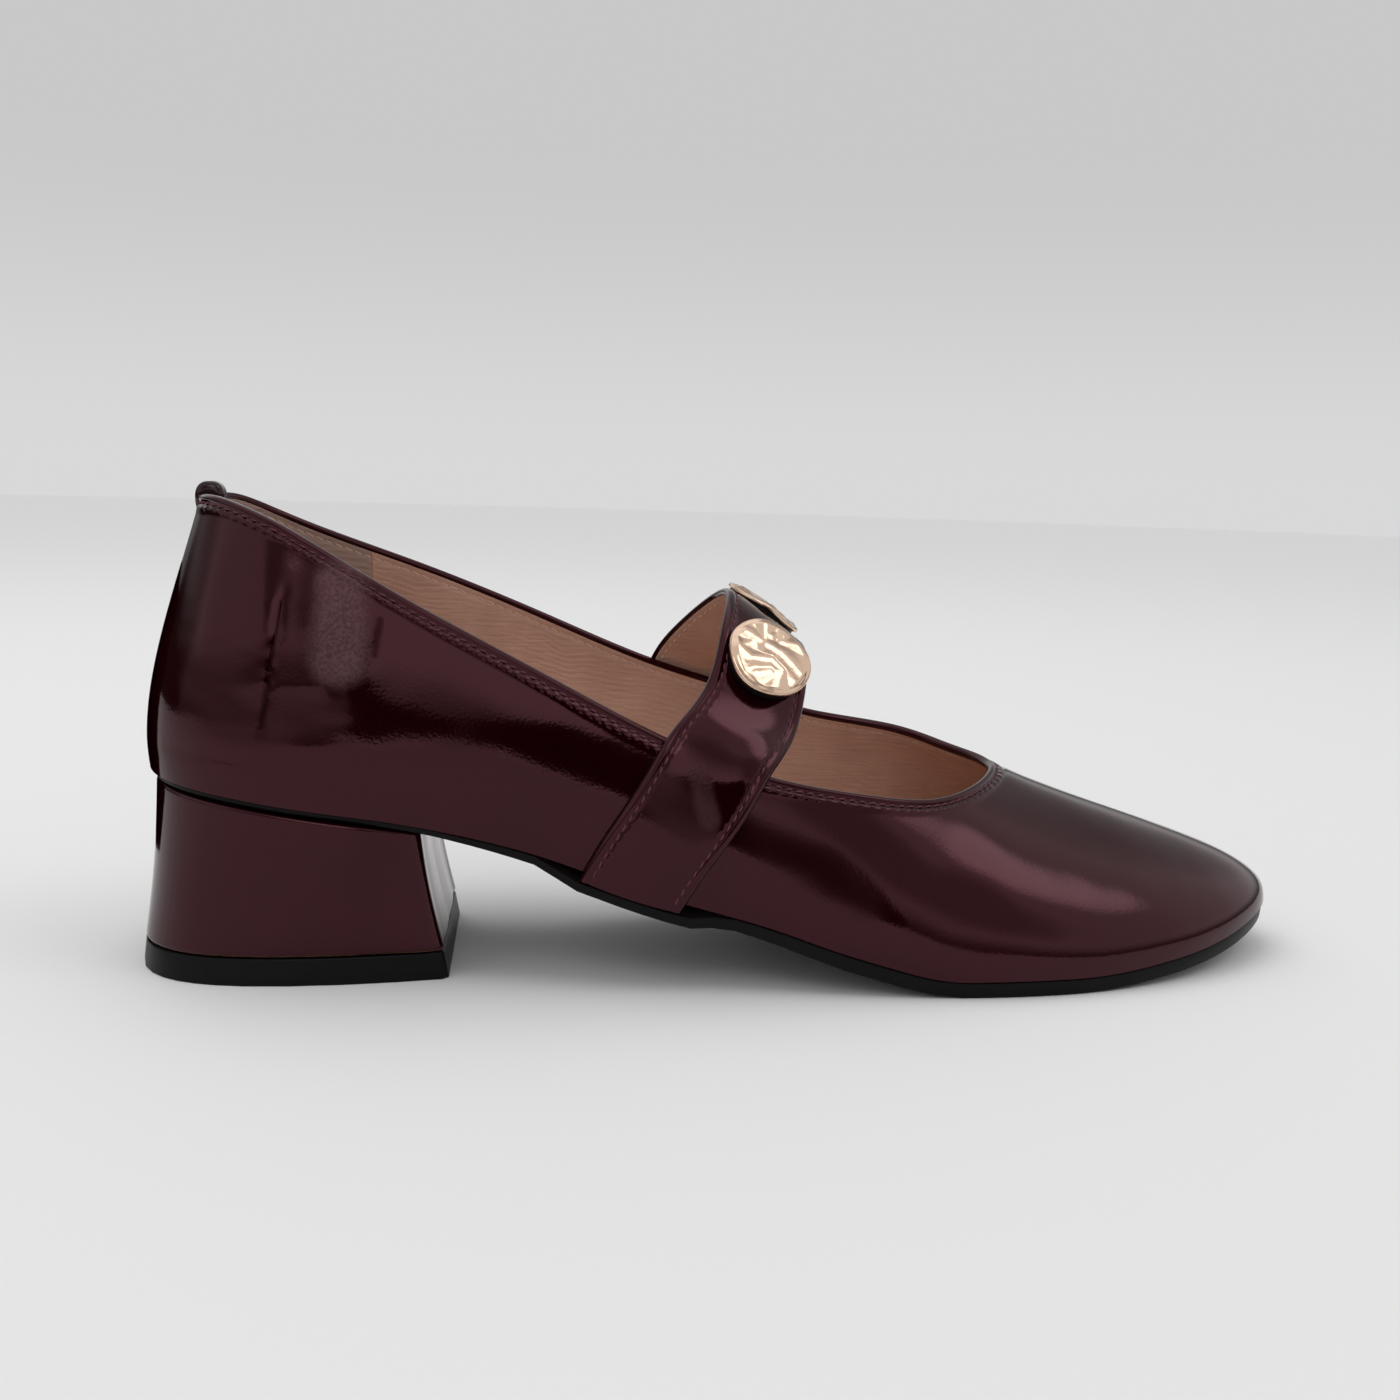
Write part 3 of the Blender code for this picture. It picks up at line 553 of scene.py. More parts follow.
def lining_leather(name, grip=False):
    """Undyed lining leather: matt, with fine flowing wrinkles and a soft mottle; suede over the heel grip."""
    finish = Finish(name, Specular_IOR_Level=0.3)
    place = finish.place()
    x, _, z = finish.parts(place)
    mottle = finish.noise(place, 90.0, 5.0, 0.6)
    colour = finish.between(finish.ramp(mottle, 0.3, 0.75), LINING_SHADE, LINING_TAN)
    drift = finish.noise(place, 60.0, 2.0)
    flow = finish.noise(finish.stretched(place, (150.0, 150.0, 1500.0)), 1.0, 2.0)
    turn = (z * 4700.0 + x * 900.0 + drift * 40.0).math("SINE")
    ripple = turn * finish.ramp(drift, 0.35, 0.6) * 0.12 + flow
    surface = finish.bump(finish.noise(place, 2400.0, 2.0), 0.04 * MM)
    surface = finish.bump(ripple, 0.17 * MM, surface)
    if grip:
        behind = 1.0 - finish.ramp(x, GRIP_SEAM_X - 0.1 * MM, GRIP_SEAM_X + 0.1 * MM)
        colour = finish.between(behind, colour, GRIP_GREY)
        seam = 1.0 - finish.ramp((x - GRIP_SEAM_X).math("ABSOLUTE"), 0.1 * MM, 0.5 * MM)
        surface = finish.bump(1.0 - seam, 0.3 * MM, surface)
    finish.feed("Base Color", colour)
    finish.feed("Roughness", finish.noise(place, 300.0) * 0.2 + 0.55)
    finish.feed("Normal", surface)
    return finish.material


sock = merged_copy("insole", "insole_sock")
rounded_edges(sock, SOCK_EDGE, 2, 50.0)
dress(sock, lining_leather("sock_leather"), "lining_leather", "insole")


# Upper. Quarters and vamp of patent leather, one millimetre thick, turned over at the topline into a round
# bead and stitched down 2 mm below it, with a pale leather lining inside. The leather is creased where the
# counter ends and puckers along the stitches.
AROUND = 840
BEAD_ROWS = 21
BEAD_DEPTH = 5.0 * MM
WALL_ROWS = 60
WALL = 1.8 * MM
LEATHER = 1.0 * MM
STITCH_DEPTH = 2.1 * MM
BEAD = 0.9 * MM
BEAD_TURNS = (75, 50, 25, 0)
BACK_ROWS = (5, 20, 35, 50, 65, BEAD_ROWS + WALL_ROWS - 1)
RIM_SAMPLES = 1200
CREASED_X = -86 * MM
CREASED_HALF = 20 * MM
CROWDING = 3.4
LINING_TOP = 0.8 * MM
LINING_THICK = 0.72 * MM
LINING_GROOVE = 2.6 * MM
LINING_STOPS = (0.0, 0.15, 0.35, 0.7, 1.2, 1.8, 2.1, 2.4, 3.0, 4.0)
IN_SHOE = np.array([0.0, 0.0, 30.0]) * MM

sheets, points = sheets_of("upper")


def wall_grid(faces):
    """Columns up one side of the upper's wall, from the sole to the topline, starting at the back seam."""
    foot = min(border_loops(faces), key=lambda loop: points[loop][:, 2].mean())
    start = min(range(len(foot)), key=lambda i: points[foot[i]][0])
    return rows_from(faces, points, foot[start:] + foot[:start], True)


def by_depth(columns, depths):
    """Points of each column at given depths below its top, then evenly down to its foot."""
    fine = spline(columns.transpose(1, 0, 2), np.linspace(0, 1, 200), False).transpose(1, 0, 2)[:, ::-1]
    placed = []
    for column in fine:
        run = distances(column)
        stops = np.concatenate([depths, np.linspace(depths[-1], run[-1], WALL_ROWS + 1)[1:]])
        placed.append(np.column_stack([read_at(stops, run, column), stops]))
    return np.array(placed)


outer_rows = wall_grid(sheets[0])
inner_rows = wall_grid(sheets[1])
if (outer_rows[0, 1, 1] > outer_rows[0, 0, 1]) != (inner_rows[0, 1, 1] > inner_rows[0, 0, 1]):
    inner_rows = np.roll(inner_rows[:, ::-1], 1, axis=1)
# The columns stand closer together on the creased stretch of the lateral side.
even = np.linspace(0, 1, RIM_SAMPLES + 1)
rim = spline(outer_rows[-1], even[:-1], True)
crowd = 1 + CROWDING * np.exp(-((rim[:, 0] - CREASED_X) / CREASED_HALF) ** 4) * (rim[:, 1] < 0)
filled = np.concatenate([[0.0], np.cumsum(crowd)])
around = np.interp(np.linspace(0, 1, AROUND, endpoint=False), filled / filled[-1], even)
outer_columns = spline(outer_rows.transpose(1, 0, 2), around, True)
depths = np.linspace(0, BEAD_DEPTH, BEAD_ROWS)
outside = by_depth(outer_columns, depths)
outside, below = outside[..., :3], outside[..., 3]
outward = facing(outside, True)
if np.sum(outward * (outside - IN_SHOE)) < 0:
    outward = -outward
length_round = distances(outside[:, 0])

# The creases of the lateral wall, in its side view, in millimetres. A negative depth is a ridge.
CREASES = (
    # from_x, from_z, to_x, to_z, half_width, depth
    (-91.5, 78.0, -95.4, 51.5, 1.1, 0.22),
    (-94.2, 76.0, -97.5, 60.0, 2.2, -0.16),
    (-73.1, 74.0, -74.3, 64.5, 1.4, 0.10),
    (-76.0, 74.0, -76.5, 66.0, 2.2, -0.10),
    (-99.0, 86.0, -102.5, 62.0, 3.5, 0.22),
    (-106.0, 84.0, -108.0, 56.0, 3.5, -0.15),
    (-87.5, 88.0, -89.0, 70.0, 3.2, 0.20),
    (-81.5, 84.0, -82.5, 62.0, 4.5, -0.26),
    (-84.5, 66.0, -80.5, 58.5, 1.6, 0.16),
    (-114.0, 46.6, -98.0, 45.0, 1.2, 0.25),
    (-110.0, 60.0, -98.0, 56.0, 3.0, 0.18),
    (-86.5, 60.0, -85.5, 48.0, 7.5, 0.60),
    (-98.0, 60.0, -97.0, 48.0, 9.0, 0.32),
)


def crease(grid, row):
    """Depth of one soft fold at each point of the wall's lateral side."""
    from_x, from_z, to_x, to_z, half_width, depth = row
    a = np.array([from_x, from_z]) * MM
    b = np.array([to_x, to_z]) * MM
    flat = grid[..., [0, 2]]
    run = b - a
    share = np.clip(((flat - a) @ run) / (run @ run), 0, 1)
    wander = 0.35 * MM * np.sin(flat[..., 1] / (0.9 * MM)) * np.sin(flat[..., 1] / (2.3 * MM))
    flat = flat + np.stack([wander, np.zeros_like(wander)], axis=-1)
    gap = np.linalg.norm(flat - a - share[..., None] * run, axis=-1) / (half_width * MM)
    ends = np.sin(np.pi * np.clip(0.12 + 0.76 * share, 0, 1)) ** 0.7
    side = np.clip(-grid[..., 1] / SIDE_FADE, 0, 1)
    return depth * MM * ends * side * np.exp(-gap ** 2)


relief = np.zeros(outside.shape[:2])
for row in CREASES:
    relief -= crease(outside, row)
relief += 0.22 * MM * np.exp(-((below - 1.0 * MM) / (0.6 * MM)) ** 2)
relief -= 0.30 * MM * np.exp(-((below - STITCH_DEPTH) / (0.4 * MM)) ** 2)
relief += 0.14 * MM * np.exp(-((below - 3.3 * MM) / (0.7 * MM)) ** 2)
drop = np.clip(BEAD - below, 0, BEAD)
relief -= BEAD - np.sqrt(np.maximum(BEAD ** 2 - drop ** 2, 0.0))
skin = outside + outward * relief[..., None]
down = (outside[:, 4] - outside[:, 0]) / below[0, 4]
inner_turn = []
for angle in BEAD_TURNS:
    t = math.radians(angle)
    across = WALL - BEAD + BEAD * math.cos(t)
    inner_turn.append(outside[:, 0] + down * (BEAD * (1 - math.sin(t))) - outward[:, 0] * across)
lip = inner_turn[-1] + down * 0.3 * MM
back_rows = [outside[:, j] - outward[:, j] * LEATHER for j in BACK_ROWS]
loop_rows = [*skin.transpose(1, 0, 2)[::-1], *inner_turn, lip, *back_rows]
section = np.stack(loop_rows, axis=1)
depth_map = np.concatenate([below[:, ::-1], np.zeros((AROUND, len(loop_rows) - below.shape[1]))], axis=1)
maps = np.stack([np.repeat(length_round[:, None], section.shape[1], axis=1), depth_map], axis=-1)
upper = tube_piece("upper_leather", section, maps)
UPPER_PUCKERS = (
    # depth below the topline, height in millimetres
    (2.7 * MM, 0.20),
)
UPPER_GRAIN_AND_HIGHLIGHT = (
    # start and end along X and Z, half width, roughness added, share of painted highlight
    ((-80.6, 79.0), (-80.8, 65.0), 6.0, 0.38, 0.9),
    ((-106.0, 61.0), (-97.0, 50.0), 9.0, 0.14, 0.0),
    ((-90.0, 53.5), (-82.5, 55.0), 5.0, 0.13, 0.0),
    ((2.0, 34.0), (20.0, 20.0), 8.0, 0.12, 0.0),
)
# Each fold gets a dent and painted shade on its floor.
UPPER_FOLDS = (
    # start and end along X and Z, half width, depth
    ((-91.8, 75.5), (-93.7, 62.5), 0.60, 0.05),
    ((-93.7, 62.5), (-95.4, 52.0), 1.20, 0.05),
    ((-73.2, 72.6), (-74.2, 65.8), 0.95, 0.04),
)
upper_finish = patent("patent_upper", UPPER_PUCKERS, UPPER_FOLDS, UPPER_GRAIN_AND_HIGHLIGHT)
dress(upper, upper_finish, "patent_leather", "upper", angle=60.0)

inner_columns = spline(inner_rows.transpose(1, 0, 2), around, True)
inside = by_depth(inner_columns, np.array([LINING_TOP + stop * MM for stop in LINING_STOPS]))
inside, inside_below = inside[..., :3], inside[..., 3]
inward = facing(inside, True)
if np.sum(inward * (inside - IN_SHOE)) > 0:
    inward = -inward
thread_groove = 0.18 * MM * np.exp(-((inside_below - LINING_GROOVE) / (0.35 * MM)) ** 2)
edge_round = 0.3 * MM * np.clip(1 - (inside_below - LINING_TOP) / (0.35 * MM), 0, 1) ** 2
face = inside - inward * (thread_groove + edge_round)[..., None]
back = [inside[:, j] - inward[:, j] * LINING_THICK for j in range(0, inside.shape[1], 6)]
section = np.stack([*face.transpose(1, 0, 2)[::-1], *back], axis=1)
lining = tube_piece("upper_lining", section)
dress(lining, lining_leather("lining_leather", grip=True), "lining_leather", angle=60.0)


# Strap. A band of patent leather folded over along both edges, lined with pale leather and stitched 2 mm in.
# It crosses the instep and goes down outside the upper to the sole on both sides, and swells a little where it
# passes over the lateral topline.
STRAP_ALONG = 380
STRAP_ACROSS = 161
SHORT_SIDE = 20
STRAP_EDGE = 0.8 * MM
STRAP_CROWN = 0.8 * MM
STRAP_STITCH = 2.1 * MM
CORE_DEPTH = 0.95 * MM
BAND_DEPTH = 1.72 * MM
BAND_BACK = 1.05 * MM
SWELL_FADE = 2.5 * MM
MIDDLE_POINTS = 30
# How far in from both edges the points stand, in millimetres, and how many of them turn under the edge.
EDGE_STOPS = (0.0, 0.05, 0.15, 0.3, 0.5, 0.8, 1.1, 1.5, 1.8, 2.1, 2.4, 2.8, 3.4)
LIP_POINTS = 5

sheets, points = sheets_of("strap")


def strap_grid(faces):
    """Rows across the strap, from its lateral foot over the instep to its medial foot."""
    loop = max(border_loops(faces), key=len)
    places = points[loop]
    before = places - np.roll(places, 1, axis=0)
    after = np.roll(places, -1, axis=0) - places
    lengths = np.linalg.norm(before, axis=1) * np.linalg.norm(after, axis=1)
    corners = sorted(np.argsort(np.sum(before * after, axis=1) / lengths)[:4])
    sides = []
    for first, last in zip(corners, corners[1:] + corners[:1]):
        count = (last - first) % len(loop) + 1
        sides.append([loop[(first + k) % len(loop)] for k in range(count)])
    foot = min((side for side in sides if len(side) < SHORT_SIDE), key=lambda side: points[side][:, 1].mean())
    if points[foot[0]][0] > points[foot[-1]][0]:
        foot = foot[::-1]
    return rows_from(faces, points, foot, False)


def across_strap(rows):
    """Points across the strap at set distances from both edges, with an even middle."""
    fine = spline(rows, np.linspace(0, 1, STRAP_ALONG), False)
    dense = spline(fine.transpose(1, 0, 2), np.linspace(0, 1, STRAP_ACROSS), False).transpose(1, 0, 2)
    near = np.array(EDGE_STOPS) * MM
    placed = []
    for line in dense:
        run = distances(line)
        middle = np.linspace(near[-1], run[-1] - near[-1], MIDDLE_POINTS + 2)[1:-1]
        at = np.concatenate([near, middle, run[-1] - near[::-1]])
        placed.append(np.column_stack([read_at(at, run, line), at, run[-1] - at]))
    placed = np.array(placed)
    return placed[..., :3], placed[..., 3], placed[..., 4]


strap_face, from_rear, from_front = across_strap(strap_grid(sheets[0]))
strap_up = facing(strap_face, False)
top_row = int(np.argmax(strap_face[:, :, 2].mean(axis=1)))
if strap_up[top_row, :, 2].mean() < 0:
    strap_up = -strap_up
to_edge = np.minimum(from_rear, from_front)
strap_run = distances(strap_face.mean(axis=1))

# The soft swell over the lateral topline and a low ridge across it, in the side view, in millimetres.
STRAP_SWELLS = (
    # x, z, long_half, short_half, lean in degrees, height
    (0.0, 47.0, 6.5, 4.5, 52.0, 0.70),
    (-3.1, 51.4, 8.5, 1.8, -25.0, 0.20),
)
across_share = (from_rear - from_front) / (from_rear + from_front)
strap_relief = STRAP_CROWN * (1 - across_share ** 2)
strap_relief += 0.12 * MM * np.exp(-((to_edge - 1.1 * MM) / (0.5 * MM)) ** 2)
strap_relief -= 0.24 * MM * np.exp(-((to_edge - STRAP_STITCH) / (0.35 * MM)) ** 2)
for x, z, long_half, short_half, lean, height in STRAP_SWELLS:
    lean = math.radians(lean)
    flat = strap_face[..., [0, 2]] / MM - np.array([x, z])
    along = (flat[..., 0] * math.cos(lean) + flat[..., 1] * math.sin(lean)) / long_half
    over = (flat[..., 1] * math.cos(lean) - flat[..., 0] * math.sin(lean)) / short_half
    kept = (strap_face[..., 1] < 0) * np.clip(to_edge / SWELL_FADE, 0, 1)
    strap_relief += height * MM * np.exp(-along ** 2 - over ** 2) * kept
drop = np.clip(STRAP_EDGE - to_edge, 0, STRAP_EDGE)
strap_relief -= STRAP_EDGE - np.sqrt(STRAP_EDGE ** 2 - drop ** 2)
strap_skin = strap_face + strap_up * strap_relief[..., None]
turned = []
for number in range(1, LIP_POINTS + 1):
    dip = STRAP_EDGE - math.sqrt(STRAP_EDGE ** 2 - (STRAP_EDGE - EDGE_STOPS[number] * MM) ** 2)
    turned.append((number, 2 * STRAP_EDGE - dip))
front_lip = [strap_face[:, -1 - number] - strap_up[:, -1 - number] * depth for number, depth in turned]
rear_lip = [strap_face[:, number] - strap_up[:, number] * depth for number, depth in reversed(turned)]
core = [strap_face[:, j] - strap_up[:, j] * CORE_DEPTH for j in (-6, -10, -20, -30, 20, 10, 5)]
strap_section = np.stack([*strap_skin.transpose(1, 0, 2), *front_lip, *core, *rear_lip], axis=1)
hidden = np.zeros((STRAP_ALONG, strap_section.shape[1] - to_edge.shape[1]))
edge_map = np.concatenate([to_edge, hidden], axis=1)
maps = np.stack([np.repeat(strap_run[:, None], strap_section.shape[1], axis=1), edge_map], axis=-1)
strap = tube_piece("strap_leather", strap_section, maps, closed=False)
STRAP_PUCKERS = (
    # depth in from the edge, height in millimetres
    (2.5 * MM, 0.06),
)
STRAP_GRAIN_AND_HIGHLIGHT = (
    # start and end along X and Z, half width, roughness added, share of painted highlight
    ((-20.0, 41.0), (-12.5, 35.5), 5.5, 0.24, 0.0),
    ((-11.8, 44.5), (-9.6, 36.0), 2.4, 0.20, 0.14),
)
strap_finish = patent("patent_strap", STRAP_PUCKERS, grain_and_highlight=STRAP_GRAIN_AND_HIGHLIGHT)
dress(strap, strap_finish, "patent_leather", "strap", angle=60.0)

band = slice(LIP_POINTS, -LIP_POINTS)
band_up = strap_up[:, band]
band_groove = 0.12 * MM * np.exp(-((to_edge[:, band] - STRAP_STITCH) / (0.3 * MM)) ** 2)
band_face = strap_face[:, band] - band_up * BAND_DEPTH
band_face[:, 0] += band_up[:, 0] * 0.15 * MM
band_face[:, -1] += band_up[:, -1] * 0.15 * MM
band_face += band_up * band_groove[..., None]
band_back = strap_face[:, band] - band_up * BAND_BACK
band_section = np.concatenate([band_face, band_back[:, ::-4]], axis=1)
strap_lining = tube_piece("strap_lining", band_section, closed=False)
dress(strap_lining, lining_leather("strap_lining_leather"), "lining_leather", angle=60.0)


# Stitching. Lockstitch in a dusty burgundy thread on the patent leather and in a pale thread on the lining:
# each stitch is one short bowed length of thread that dips into its needle holes at both ends.
STITCH_LENGTH = 1.75 * MM
THREAD = 0.46 * MM
STITCH_SLANT = 9.0
STITCH_PROUD = 0.10 * MM
KNOT_TURNS = 9
KNOT_DEPTH = 1.6 * MM
TAB_ROOM = 6
THREAD_WINE = (0.105, 0.026, 0.038)
THREAD_TAN = (0.66, 0.46, 0.36)


def thread(name, colour):
    """Waxed polyester thread, twisted, with a low sheen."""
    finish = Finish(name, Base_Color=(*colour, 1.0), Specular_IOR_Level=0.3)
    place = finish.place()
    finish.feed("Roughness", finish.noise(place, 900.0) * 0.25 + 0.42)
    finish.feed("Normal", finish.bump(finish.noise(place, 4000.0), 0.03 * MM))
    return finish.material


bpy.ops.mesh.primitive_uv_sphere_add(segments=8, ring_count=7, radius=0.5)
bpy.ops.object.mode_set(mode="EDIT")
bpy.ops.transform.rotate(value=math.radians(90), orient_axis="Y", center_override=(0, 0, 0))
bpy.ops.object.mode_set(mode="OBJECT")
pattern = bpy.context.object
stitch_points = np.array([v.co for v in pattern.data.vertices])
stitch_points[:, 0] *= STITCH_LENGTH
stitch_points[:, 1:] *= THREAD
stitch_points[:, 2] -= 0.9 * THREAD * (stitch_points[:, 0] / (0.5 * STITCH_LENGTH)) ** 2 * 0.5
stitch_faces = [list(face.vertices) for face in pattern.data.polygons]
bpy.data.objects.remove(pattern)


def sewn(name, stitches, material, slot):
    """Join stitches, each an array of its points, as one mesh."""
    faces = []
    for number in range(len(stitches)):
        faces += [[corner + number * len(stitch_points) for corner in face] for face in stitch_faces]
    return dress(new_piece(name, np.concatenate(stitches).tolist(), faces), material, slot, angle=80.0)


def sew(name, line, out, material, slot):
    """A row of stitches along a line of points with their outward directions."""
    run = distances(line)
    count = int(run[-1] / STITCH_PITCH)
    stitches = []
    for number in range(count):
        at = (number + 0.5) * run[-1] / count
        centre, up = read_at(at, run, line), read_at(at, run, out)
        ahead = read_at(at + 0.5 * STITCH_LENGTH, run, line) - read_at(at - 0.5 * STITCH_LENGTH, run, line)
        ahead /= np.linalg.norm(ahead)
        up -= ahead * (up @ ahead)
        up /= np.linalg.norm(up)
        side = np.cross(up, ahead)
        lean = math.radians(STITCH_SLANT * (1 + 0.35 * math.sin(number * 2.4)))
        turned_ahead = ahead * math.cos(lean) + side * math.sin(lean)
        turned_side = np.cross(up, turned_ahead)
        local = stitch_points * (1 + 0.08 * math.sin(number * 1.7))
        stitches.append(centre + up * STITCH_PROUD + local @ np.stack([turned_ahead, turned_side, up]))
    return sewn(name, stitches, material, slot)


def knot(name, middle, out, material, slot):
    """A few turns of thread pulled tight at the end of a seam."""
    stitches = []
    out = out / np.linalg.norm(out)
    side = np.cross(out, (0.0, 0.0, 1.0))
    side /= np.linalg.norm(side)
    rise = np.cross(side, out)
    for number in range(KNOT_TURNS):
        a = 0.5 + number * 2.399
        ahead = side * math.cos(a) + rise * math.sin(a) + out * 0.35 * math.sin(number * 1.9)
        ahead /= np.linalg.norm(ahead)
        up = out - ahead * (out @ ahead)
        up /= np.linalg.norm(up)
        turned = np.stack([ahead, np.cross(up, ahead), up])
        reach = side * 0.9 * math.sin(number * 2.1) + rise * 0.7 * math.cos(number * 1.3)
        fat = stitch_points * np.array([1.15, 1.25, 1.25])
        stitches.append(middle + (reach + out * 0.25) * MM + fat @ turned)
    return sewn(name, stitches, material, slot)


wine = thread("thread_wine", THREAD_WINE)
row = int(np.argmin(np.abs(below[0] - KNOT_DEPTH)))
beside_tab = 4 if skin[4, 0, 1] < skin[0, 0, 1] else -4
knot("tab_knot", skin[beside_tab, row], outward[beside_tab, row], wine, "patent_leather")
tan = thread("thread_tan", THREAD_TAN)
row = int(np.argmin(np.abs(below[0] - STITCH_DEPTH)))
sewn_round = slice(TAB_ROOM, -TAB_ROOM)
sew("topline_stitches", skin[sewn_round, row], outward[sewn_round, row], wine, "patent_leather")
row = int(np.argmin(np.abs(inside_below[0] - LINING_GROOVE)))
sew("lining_stitches", face[sewn_round, row], -inward[sewn_round, row], tan, "lining_leather")
column = EDGE_STOPS.index(2.1)
seams = (("rear", column, column - LIP_POINTS), ("front", -1 - column, LIP_POINTS - 1 - column))
sewn_along = slice(3, -3)
for edge, outer, inner in seams:
    sew("strap_stitches_" + edge, strap_skin[sewn_along, outer], strap_up[sewn_along, outer], wine,
        "patent_leather")
    sew("strap_lining_stitches_" + edge, band_face[sewn_along, inner], -band_up[sewn_along, inner], tan,
        "lining_leather")


# Back tab. A strip of patent leather rolled over the topline at the back seam, padded so that it stands up as
# a small round bolster.
TAB_RINGS = 30
TAB_POINTS = 40
TAB_END = 1.3 * MM
TAB_CORNER = 0.8
TAB_TINT = (0.72, 0.62, 0.66, 1.0)
tab_low, tab_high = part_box("back_tab")
tab_low, tab_high = np.array(tab_low), np.array(tab_high)
middle = 0.5 * (tab_low + tab_high)
half = 0.5 * (tab_high - tab_low)
lip = TAB_END / half[1]
rings = []
for step in np.linspace(-1, 1, TAB_RINGS):
    reach = math.sin(step * math.pi / 2)
    over = max(0.0, (abs(reach) - (1 - lip)) / lip)
    shrink = math.sqrt(max(1e-4, 1 - over ** 2))
    ring = []
    for number in range(TAB_POINTS):
        t = 2 * math.pi * number / TAB_POINTS
        x = math.copysign(abs(math.cos(t)) ** TAB_CORNER, math.cos(t)) * half[0] * (0.55 + 0.45 * shrink)
        z = math.copysign(abs(math.sin(t)) ** TAB_CORNER, math.sin(t)) * half[2] * (0.45 + 0.55 * shrink)
        ring.append((middle[0] + x, middle[1] + reach * half[1], middle[2] + z))
    rings.append(ring)
tab = tube_piece("back_roll", np.array(rings), closed=False)
dress(tab, patent("patent_tab", tint=TAB_TINT), "patent_leather", "back_tab", angle=70.0)


# Discs. Two cast metal discs, polished, with a crumpled face, a narrow bevel and a wavy rim. Each sits on a
# black cylinder that holds it off the strap. Its black is painted shade, standing in for the dark under the
# disc.
DISC_RADIUS = 9.1 * MM
DISC_THICK = 1.2 * MM
DISC_RISE = 0.75 * MM
DISC_WAVE = 0.30 * MM
DISC_SPOKES = 132
TOP_SHARES = np.array([*np.linspace(0, 0.86, 32), 0.88, 0.90, 0.93, 0.96, 0.98, 0.995, 1.0, 1.0])
UNDER_SHARES = np.array([0.99, 0.96, 0.85, 0.6, 0.3, 0.0])
RIM_FOOT = 0.25 * MM
# Black cylinder under each disc, wide enough that a band of painted shade shows just under the rim.
SHADE_WASHER_RADIUS = 8.3 * MM
SHADE_WASHER_EDGE = 0.25 * MM
SHADE_WASHER_SUNK = 0.4 * MM
ROSE_GOLD = (0.78, 0.575, 0.44)
ROSE_GOLD_DEEP = (0.70, 0.49, 0.355)
BEVEL = (
    # share of the radius, height in millimetres
    (0.0, 0.0), (0.86, 0.0), (0.88, -0.12), (0.96, -0.30), (0.98, -0.38), (0.995, -0.55), (1.0, -0.75),
)
RELIEF_LEFT = (
    # share of the radius, share of the relief that is left there
    (0.0, 1.0), (0.82, 1.0), (0.9, 0.35), (1.0, 0.0),
)
DISC_FOLDS = (
    # from_u, from_v, to_u, to_v, half_width, height: shares of the radius, and millimetres
    (-0.85, 0.32, -0.20, 0.18, 0.15, 0.50),
    (-0.20, 0.18, 0.20, 0.15, 0.17, 0.60),
    (0.20, 0.15, 0.85, -0.14, 0.20, 0.65),
    (-0.84, -0.15, -0.46, -0.36, 0.16, 0.45),
    (-0.46, -0.36, 0.03, -0.14, 0.14, 0.45),
    (0.03, -0.14, 0.34, -0.24, 0.13, 0.40),
    (-0.40, 0.78, -0.20, 0.10, 0.13, 0.42),
    (-0.71, -0.12, -0.17, 0.48, 0.12, 0.38),
    (0.12, 0.95, 0.16, 0.50, 0.12, 0.40),
    (0.16, 0.50, 0.56, 0.68, 0.13, 0.42),
    (0.34, -0.24, 0.30, -0.80, 0.14, 0.32),
    (-0.20, -0.70, 0.10, -0.45, 0.12, 0.28),
)
finish = Finish("rose_gold", Metallic=1.0)
place = finish.place()
finish.feed("Base Color", finish.between(finish.noise(place, 180.0, 2.0), ROSE_GOLD, ROSE_GOLD_DEEP))
finish.feed("Roughness", finish.noise(place, 420.0, 3.0) * 0.12 + 0.05)
finish.feed("Normal", finish.bump(finish.noise(place, 700.0, 1.0), 0.04 * MM))
rose_gold = finish.material
# Painted shade: the black of the cylinders under the discs stands in for the shadow between disc and strap.
shade_washer_black = rubber("painted_shade_washer", RUBBER_AND_SHADE_BLACK)


def crumple(u, v, turned):
    """Height of the disc's face over its plane, from its folds."""
    spin = math.radians(turned)
    u, v = u * math.cos(spin) - v * math.sin(spin), u * math.sin(spin) + v * math.cos(spin)
    total = np.zeros_like(u)
    for from_u, from_v, to_u, to_v, half_width, height in DISC_FOLDS:
        run = np.array([to_u - from_u, to_v - from_v])
        share = np.clip(((u - from_u) * run[0] + (v - from_v) * run[1]) / (run @ run), 0, 1)
        gap = np.hypot(u - from_u - share * run[0], v - from_v - share * run[1]) / half_width
        total = np.maximum(total, height * np.exp(-0.55 * gap ** 2))
    tilt = 0.20 * np.sin(3.1 * u + 1.0) * np.cos(2.3 * v - 0.4)
    return (total + tilt) * MM


